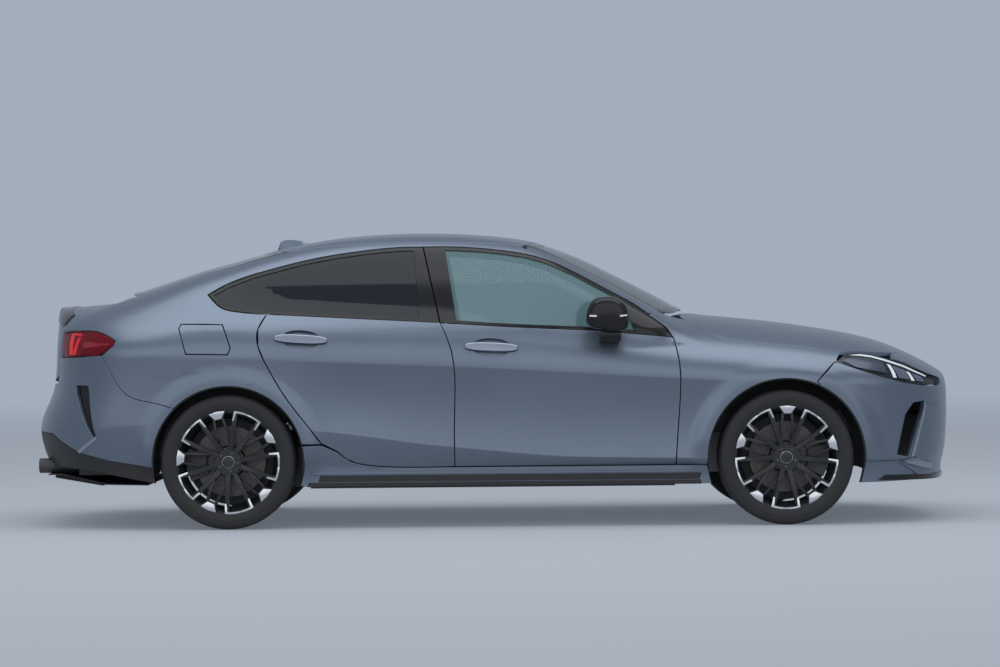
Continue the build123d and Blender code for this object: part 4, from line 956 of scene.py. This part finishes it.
GROOVES = [-66, -24, 24, 66]
tread = []
for middle in GROOVES:
    tread += [(middle - 5, 322.6), (middle - 3.5, 315.5), (middle + 3.5, 315.5), (middle + 5, 322.6)]
TYRE_PROFILE = ([(-98, 243.5), (-103, 249), (-109, 262), (-114, 276), (-115.8, 290), (-114.5, 302),
        (-110, 311), (-101, 318), (-88, 321.6)] + tread
    + [(88, 321.6), (101, 318), (110, 311), (114.5, 302), (115.8, 290), (115.0, 284), (115.6, 283),
        (114, 276), (109, 262), (103, 249), (98, 243.5)])
RIM_PROFILE = [(-106, 254), (-98.3, 254), (-98.3, 243), (98.3, 243), (99, 252), (101, 255.5),
    (104.5, 256), (106, 254), (105, 250), (98, 247), (90, 242), (70, 226), (50, 217), (-20, 215),
    (-60, 222), (-92, 232), (-106, 244)]
SHIELD_PROFILE = [(-50, 60), (-50, 205), (-46, 208), (-46, 60)]
RING_STEPS, DISC_STEPS = 160, 96
DISC_PROFILE = [(-43, 60), (-43, 170), (-17, 170), (-17, 78), (-10, 74), (30, 70), (30, 32), (-43, 32)]


def standing(side, centre=(0.0, 0.0), out=0.0):
    """Stands flat outlines up in the side view, on one side of the car."""
    def place(points):
        return np.stack([centre[0] + points[:, 0], side * (out + points[:, 2]),
                centre[1] + points[:, 1]], -1)
    return place


def dished(axle, side, turn):
    """Puts flat spoke outlines on the wheel, sunk towards the hub."""
    def place(points):
        u, w, y = points.T
        r = np.hypot(u, w)
        y = y - 24 * np.clip(1 - r / 238, 0, 1) ** 1.6
        c, s = math.cos(math.radians(turn)), math.sin(math.radians(turn))
        return np.stack([axle + u * c - w * s, side * (WHEEL_Y + y), TYRE_R + u * s + w * c], -1)
    return place


def wheel(end, side_name, axle, turn):
    side = 1 if side_name == "left" else -1
    rider = f"wheel_{end}_{side_name}"
    stem = f"{end}_{side_name}"
    tyre = turned(f"tyre_{stem}_shown", rider, axle, side, TYRE_PROFILE, RUBBER, RING_STEPS, sharp=50)
    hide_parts(f"tyre_{stem}")
    rim = turned(f"rim_{stem}_barrel", rider, axle, side, RIM_PROFILE, WHEEL_BLACK, RING_STEPS)
    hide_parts(f"rim_{stem}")
    turned(f"brake_disc_{stem}", rider, axle, side, DISC_PROFILE, DISC, DISC_STEPS)
    turned(f"brake_shield_{stem}", rider, axle, side, SHIELD_PROFILE, SATIN_BLACK, DISC_STEPS)
    place = dished(axle, side, turn)
    black, silver = [], []
    for k in range(5):
        a = 72 * k
        for s in (1, -1):
            arm = [(52, 9), (76, 12.5), (104, 15.2), (150, 17.6), (200, 18.6), (246, 19.4), (246, 24.2),
                (200, 24.4), (150, 25.4), (104, 27.2), (78, 30.5), (62, 36.0), (50, 36.0)]
            strut = [(218, 7.2), (142, 14.8), (106, 17.5), (92, 13.0), (138, 10.4), (213, 3.4)]
            line = [(247.5, 36.2), (247.5, 31), (247.5, 25.4), (247.5, 19.6), (199, 18.4), (199, 21.0),
                (239, 22.0), (239.5, 25.8), (239.5, 31), (239.5, 36.2)]
            for outline, back, front, made in ((arm, 56, 95, black), (strut, 58, 91, black),
                    (line, 88, 101.5, silver)):
                made.append(([polar(r, a + s * t) for r, t in outline][::s], back, front))
        silver.append(([polar(211, a - 4.4), polar(246.5, a - 9.2), polar(248, a),
                    polar(246.5, a + 9.2), polar(211, a + 4.4)], 84, 101.5))
        black.append(([polar(205, a - 5.4), polar(244, a - 10.4), polar(244, a + 10.4),
                    polar(205, a + 5.4)], 60, 92))
        black.append((ringed(246, a + 18, a + 54, 9) + ringed(236, a + 54, a + 18, 9), 60, 93))
        for s in (1, -1):
            black.append(([polar(246, a + s * t) for t in (9, 14, 20)]
                    + [polar(238, a + s * t) for t in (20, 14, 9)], 60, 90))
    plates(f"spokes_{stem}", rider, black, place, WHEEL_BLACK, 3.0)
    plates(f"spoke_faces_{stem}", rider, silver, place, SILVER, 1.0)
    bolts = []
    for k in range(5):
        cx, cy = polar(44, 72 * k + 36)
        bolts.append(([(cx + u, cy + w) for u, w in ringed(8.5, 0, 300, 6)], 60, 104))
    plates(f"hub_{stem}", rider, [(ringed(62, 0, 352, 46), 30, 97), (ringed(28, 0, 350, 36), 90, 112)],
        place, WHEEL_BLACK, 4.0)
    plates(f"hub_ring_{stem}", rider, [(ringed(29.5, 0, 350, 36), 104, 108)], place, SILVER, 0.8)
    plates(f"bolts_{stem}", rider, bolts, place, STEEL, 1.0)
    # Black dots on the disc face stand for the drilled holes: painted shade, as no holes are cut.
    hole_shade_dots = []
    for k in range(20):
        for r, lag in ((88, 0), (108, 6), (128, 12), (150, 3)):
            cx, cy = polar(r, 18 * k + lag)
            hole_shade_dots.append(([(cx + u, cy + w) for u, w in ringed(3.4, 0, 315, 8)], -17.5, -16.7))
    plates(f"disc_drillings_painted_shade_{stem}", rider, hole_shade_dots, standing(side, (axle, TYRE_R), WHEEL_Y), SATIN_BLACK,
        0)


for end, axle, turn in (("front", FRONT_AXLE, 88.5), ("rear", REAR_AXLE, 102.5)):
    for side_name in ("left", "right"):
        wheel(end, side_name, axle, turn)

# ---- mirrors and roof fin --------------------------------------------------------------------
MIRROR = [(488, 1097), (456, 1074), (434, 1015), (437, 966), (460, 948), (564, 931), (625, 933),
    (640, 975), (641, 1040), (627, 1066), (564, 1101)]
mirror_line = walked(np.array(MIRROR, float), 12)
for _ in range(3):
    mirror_line = (np.roll(mirror_line, 1, 0) + 2 * mirror_line + np.roll(mirror_line, -1, 0)) / 4
middle = mirror_line.mean(0)
layers = [(882, 0.62), (884, 0.78), (890, 0.9), (902, 0.97), (930, 1.0), (960, 0.99), (982, 0.94),
    (997, 0.84), (1005, 0.68), (1007.5, 0.45)]
count = len(mirror_line)
for side_name, side in (("left", 1), ("right", -1)):
    points = np.concatenate(
        [np.stack([middle[0] + k * (mirror_line[:, 0] - middle[0]), 0 * mirror_line[:, 0] + side * y,
                    middle[1] + k * (mirror_line[:, 1] - middle[1])], -1) for y, k in layers])
    faces = [tuple(range(count)), tuple(range(len(points) - count, len(points)))]
    faces += netted(len(layers), count)
    shell = closed(f"mirror_{side_name}_housing", f"front_door_{side_name}", points, faces, GLOSS_BLACK,
        60)
    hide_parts(f"mirror_{side_name}")
    plates(f"mirror_{side_name}_arm", f"front_door_{side_name}",
        [([(500, 884), (508, 925), (520, 950), (600, 940), (604, 905), (598, 884)], 806, 905)],
        standing(side), GLOSS_BLACK, 4.0)
    strip = [(449, 1003), (452, 1011), (520, 1008), (600, 1010), (629, 1012), (629, 1005), (600, 1001),
        (520, 999)]
    plates(f"mirror_{side_name}_light", f"front_door_{side_name}", [(strip, 960, 1006.5)],
        standing(side), CLEAR_TRIM, 1.0)
fin_points = []
FIN = [(-1105, 1338, 2), (-1092, 1375, 8), (-1082, 1402, 11), (-1060, 1410.5, 12), (-1020, 1411, 14),
    (-975, 1405, 16), (-930, 1388, 18), (-905, 1372, 10)]
for x, z, w in FIN:
    base = 1340 + (x + 1105) * 0.235
    for y, k in ((-w, 0.0), (-w * 0.8, 0.6), (-w * 0.35, 1.0), (w * 0.35, 1.0), (w * 0.8, 0.6),
            (w, 0.0)):
        fin_points.append((x, y, base - 6 + (z - base + 6) * k))
fin_faces = netted(len(FIN), 6) + [tuple(range(6)), tuple(range(len(fin_points) - 6, len(fin_points)))]
closed("roof_fin", "car_body", fin_points, fin_faces, PAINT, 50)

# ---- lamps -----------------------------------------------------------------------------------
trim("headlamp_bowl", NOSE, lamp_outline, LAMP_BOWL, "gloss_black", step=16, wall=6, depth=24, gap=1.0)
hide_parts("headlamps")
for name, finish, depth, outline in (("running_light_top", LIGHT_BAR, 7, [(1700, 808), (1760, 812),
                (1815, 805), (1875, 789), (1975, 757), (2030, 732), (2095, 704), (2092, 698),
                (2026, 725), (1971, 749), (1872, 781), (1813, 797), (1762, 804)]),
        ("running_light_a", LIGHT_BAR, 12, [(1893, 764), (1909, 760), (1936, 697), (1918, 699)]),
        ("running_light_b", LIGHT_BAR, 12, [(1990, 728), (2006, 722), (2032, 680), (2014, 682)]),
        ("projector_a", PROJECTOR, 14, [(1922, 754), (1984, 734), (2004, 688), (1948, 696)]),
        ("projector_b", PROJECTOR, 14, [(2020, 716), (2070, 700), (2086, 675), (2044, 679)]),
        ("lamp_side_shelf", LAMP_SHELF, 15, [(1672, 783), (1720, 800), (1800, 795), (1872, 774),
                (1890, 720), (1800, 737), (1740, 750)])):
    trim(name, NOSE, front_turns(outline), finish, "lamp_clear", step=8, wall=3, depth=depth,
        round_over=0.8)
trim("tail_lamp_bowl", TAIL, tail_outline, LAMP_RED_DEEP, "lamp_red", step=14, wall=6, depth=16,
    gap=1.0)
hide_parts("tail_lamps")
for name, finish, outline in (("tail_light_a", RED_BAR,
            [(-2060, 945), (-2040, 947), (-2046, 842), (-2068, 842)]),
        ("tail_light_b", RED_BAR, [(-2040, 947), (-2000, 944), (-2004, 934), (-2040, 936)]),
        ("tail_light_c", RED_BAR, [(-2018, 925), (-2004, 927), (-2030, 842), (-2046, 842)]),
        ("tail_light_d", RED_DIM, [(-1990, 905), (-1850, 897), (-1852, 890), (-1990, 872)])):
    trim(name, TAIL, rear_turns(outline), finish, "lamp_red", step=8, wall=3, depth=6, round_over=0.8)

# ---- lower trim ------------------------------------------------------------------------------
# Matt black strip over the foot of the sill: painted shade for the dark recess there, which is not
# modelled.
trim("skirt_recess_painted_shade", SIDE, [(-850, 223), (975, 223), (985, 254), (-840, 254)], SATIN_BLACK,
    "black_plastic", step=16, wall=3, depth=-0.6, round_over=0.6)
valance = rear_turns([(-2150, 462), (-2006, 372), (-1850, 332)]
    + arc(REAR_AXLE, ARCH_REAR_R, 183.8, 196, 6) + [(-1834, 262), (-1964, 290), (-2073, 295)])
valance = [(180.0, 470.0), (165, 469)] + valance + [(150, 297), (165, 299), (180, 300)]
valance += [(360 - a, z) for a, z in valance[-2:0:-1]]
trim("rear_valance", TAIL, valance, SATIN_BLACK, "black_plastic", False, step=16, wall=14, depth=1.0,
    gap=1.0)
# Tail blade in the lighter copy of the paint: a painted highlight on its edge.
trim("rear_blade", TAIL, rear_turns([(-1912, 452), (-1906, 438), (-1998, 366), (-2012, 378)]), PAINT_HIGHLIGHT,
    "body_paint", step=8, wall=5, depth=-4)
tail_vent = rear_turns([(-2030, 702), (-1950, 702), (-1936, 593), (-1904, 437), (-1938, 441),
        (-2028, 660)])
trim("rear_vent_floor", TAIL, tail_vent, GLOSS_BLACK, "gloss_black", step=14, wall=4, depth=19)
# The blade and the shelf take the lighter copy of the paint, a painted highlight; the facet and the lip
# keep the plain paint.
for name, finish, depth, wall, outline in (("corner_blade", PAINT_HIGHLIGHT, -9, 12,
            [(2066, 560), (2078, 566), (2010, 318), (1994, 316)]), ("corner_facet", PAINT, -6, 9,
            [(2081, 562), (2160, 575), (2168, 430), (2150, 380), (2086, 270), (2012, 314)]),
        ("corner_shelf", PAINT_HIGHLIGHT, -8, 11,
            [(1936, 300), (2010, 312), (2118, 276), (2116, 250), (2052, 262)]), ("corner_lip", PAINT,
            -7, 10, [(1930, 292), (2050, 256), (2112, 246), (2106, 226), (2040, 222)])):
    trim(name, NOSE, front_turns(outline), finish, "body_paint", step=12, wall=wall, depth=depth,
        round_over=2)
splitter = [(-62, 208), (-40, 202), (0, 200), (40, 202), (62, 208), (60, 232), (40, 228), (0, 226),
    (-40, 228), (-60, 232)]
trim("front_splitter", NOSE, splitter, GLOSS_BLACK, "gloss_black", False, step=14, wall=16, depth=-9,
    round_over=3)
lip = [(131, -470), (146, -505), (150, -505), (150, 505), (146, 505), (131, 470)]
trim("boot_lip", DECK, lip, GLOSS_BLACK, "gloss_black", False, "boot_lid", step=16, wall=12, depth=-8,
    round_over=4)

# bars, slats and floors of the front openings
for i, (low, high) in enumerate(((486, 520), (524, 558), (562, 596), (600, 634))):
    half = 20.5 if 0 < i < 3 else 19.0
    bar = [(-half, low), (half, low), (half - 0.8, high), (-half + 0.8, high)]
    trim(f"grille_bar_{i}", NOSE, bar, GLOSS_BLACK, "gloss_black", False, step=12, wall=8,
        depth=16 + 2 * (i % 2), gap=3.0, round_over=3)
trim("grille_floor", NOSE, [(-22, 484), (22, 484), (22, 640), (-22, 640)], SATIN_BLACK, "black_plastic",
    False, step=16, wall=5, depth=32)
trim("intake_floor", NOSE, [(-27, 242), (27, 242), (27, 345), (-27, 345)], SATIN_BLACK, "black_plastic",
    False, step=16, wall=5, depth=30)
for i in range(4):
    z = 258 + 22 * i
    trim(f"intake_slat_{i}", NOSE, [(-26, z), (26, z), (26, z + 7), (-26, z + 7)], GLOSS_BLACK,
        "gloss_black", False, step=10, wall=14, depth=10)

# sill
trim("skirt_rail", SIDE, [(-880, 256), (980, 256), (985, 268), (-885, 268)], PAINT, "body_paint",
    step=10, wall=6, depth=-4, round_over=3)
trim("skirt_edge", SIDE, [(-900, 200), (985, 200), (980, 221), (-895, 221)], SATIN_BLACK,
    "black_plastic", step=10, wall=6, depth=-5, round_over=3)

# ---- seats -----------------------------------------------------------------------------------
def squared(v):
    """Pushes a sine or cosine out towards a block's flat face."""
    return math.copysign(abs(v) ** 0.45, v)


def cushion(name, centre, size, tilt, channels):
    """Stuffed block with pulled-in sides and sewn channels. Its crowned face looks along its own z."""
    long, wide, thick = (s / 2 for s in size)
    rows, columns = 40, 56
    points = []
    for a in np.linspace(-np.pi / 2, np.pi / 2, rows):
        for b in np.linspace(-np.pi, np.pi, columns, endpoint=False):
            ring = abs(math.cos(a)) ** 0.5
            u, v, w = ring * squared(math.cos(b)), ring * squared(math.sin(b)), squared(math.sin(a))
            crown = (1 - u * u) * (1 - v * v)
            seam = max([math.exp(-(((u if along_u else v) - at) / 0.035) ** 2)
                    for along_u, at in channels] or [0])
            face = ease(w, 0.3, 0.9)
            points.append((long * u * (1 - 0.05 * (1 - v * v)), wide * v * (1 - 0.05 * (1 - u * u)),
                    thick * w + face * (12 * crown - 9 * float(seam))))
    points = np.array(points)
    turn = math.radians(tilt)
    x, z = points[:, 0].copy(), points[:, 2].copy()
    points[:, 0] = centre[0] + x * math.cos(turn) - z * math.sin(turn)
    points[:, 2] = centre[2] + x * math.sin(turn) + z * math.cos(turn)
    points[:, 1] += centre[1]
    faces = netted(rows, columns)
    made = closed(name, "car_body", points, faces, LEATHER, 75)
    return made


SEAMS = [(False, -0.62), (False, 0.62)]
for side_name, side in (("left", 1), ("right", -1)):
    y = 380 * side
    base = cushion(f"front_seat_base_{side_name}", (0, y, 364), (505, 452, 112), 5,
        SEAMS + [(True, 0.0), (True, 0.5), (True, -0.5)])
    if side > 0:
        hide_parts("front_seats")
    cushion(f"front_seat_back_{side_name}", (-298, y, 676), (590, 448, 92), -74.3,
        SEAMS + [(True, t) for t in (-0.4, 0.0, 0.4)])
    cushion(f"front_seat_headrest_{side_name}", (-414, y, 1066), (160, 250, 60), -82, [(True, 0.0)])
    plates(f"front_seat_posts_{side_name}", "car_body",
        [([(-408, 930), (-396, 930), (-406, 1000), (-418, 1000)], a, a + 12)
            for a in (320, 428)], standing(side), STEEL, 0)
    plates(f"front_seat_rails_{side_name}", "car_body",
        [([(-220, 213), (220, 213), (220, 318), (-220, 318)], a, a + 40) for a in (180, 540)],
        standing(side), SATIN_BLACK, 2.0)
rear_base = cushion("rear_seat_base", (-868, 0, 398), (440, 1084, 124), 2.7,
    [(False, -0.33), (False, 0.33), (True, 0.0), (True, 0.45), (True, -0.45)])
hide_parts("rear_seat")
cushion("rear_seat_back", (-1166, 0, 680), (486, 1084, 80), -74.9,
    [(False, -0.33), (False, 0.33), (True, -0.3), (True, 0.3)])
for side_name, side in (("left", 1), ("right", -1)):
    cushion(f"rear_seat_headrest_{side_name}", (-1240, 330 * side, 968), (136, 248, 56), -84,
        [(True, 0.0)])
apron = [(-1640, -500), (-1786, -512), (-1786, 512), (-1640, 500)]
panel("rear_window_apron", "car_body",
    skin(outer=apron, lift=from_above, shape=lower, step=24, wall=8, depth=2, gap=0.0),
    [SATIN_BLACK] * 2, None)

# ---- floor, light, camera ------------------------------------------------------------------
scene.view_settings.view_transform = "Standard"
BACKDROP = (0.37, 0.42, 0.50)


def backdrop_finish(name, colour, shown):
    """Plain matt that the lens, mirrors and glass see at a set brightness."""
    f = Finish(name)
    surface = f.node("ShaderNodeBsdfDiffuse", {}, {"Color": shade(*colour)})
    glow = f.node("ShaderNodeEmission", {}, {"Color": shade(*shown), "Strength": 1.0})
    away = f.node("ShaderNodeVectorMath", {"operation": "LENGTH"}, {0: f.place()}, output=1)
    far = f.node("ShaderNodeMapRange", {"interpolation_type": "SMOOTHSTEP"}, {0: away, 1: 7.0, 2: 30.0})
    mixed = f.node("ShaderNodeMixShader", {}, {0: f.seen() * (far * 0.7 + 0.3), 1: surface, 2: glow})
    return f.surface(mixed)


floor_mesh = bpy.data.meshes.new("floor")
floor_mesh.from_pydata([(-60, -40, 0), (60, -40, 0), (60, 60, 0), (-60, 60, 0)], [], [(0, 1, 2, 3)])
floor = bpy.data.objects.new("floor", floor_mesh)
scene.collection.objects.link(floor)
floor_mesh.materials.append(backdrop_finish("studio_floor", (0.46, 0.48, 0.51), BACKDROP))

world = bpy.data.worlds.new("studio")
scene.world = world
sky = Finish("studio", world, "ShaderNodeOutputWorld")
light = sky.node("ShaderNodeBackground", {}, {"Color": shade(0.80, 0.86, 0.95), "Strength": 0.7})
shown = sky.node("ShaderNodeBackground", {}, {"Color": shade(*BACKDROP), "Strength": 1.0})
sky.surface(sky.node("ShaderNodeMixShader", {}, {0: sky.seen(), 1: light, 2: shown}))


def lamp(name, place, target, size, watts):
    data = bpy.data.lights.new(name, "AREA")
    data.shape, data.size, data.size_y, data.energy = "RECTANGLE", *size, watts
    made = bpy.data.objects.new(name, data)
    made.location = place
    made.rotation_euler = (Vector(target) - Vector(place)).to_track_quat("-Z", "Y").to_euler()
    scene.collection.objects.link(made)


lamp("overhead", (0, -1.5, 7.5), (0, 0, 0.6), (10, 6), 330)
lamp("side_fill", (-1.0, -17.0, 6.0), (0, 0, 0.7), (30, 10), 720)
lens_data = bpy.data.cameras.new("lens")
lens_data.lens, lens_data.sensor_width = 105.7, 36.0
camera = bpy.data.objects.new("camera", lens_data)
camera.location = (0.026, -14.9, 0.927)
camera.rotation_euler = (math.radians(90), math.radians(0.52), 0)
scene.collection.objects.link(camera)
scene.camera = camera
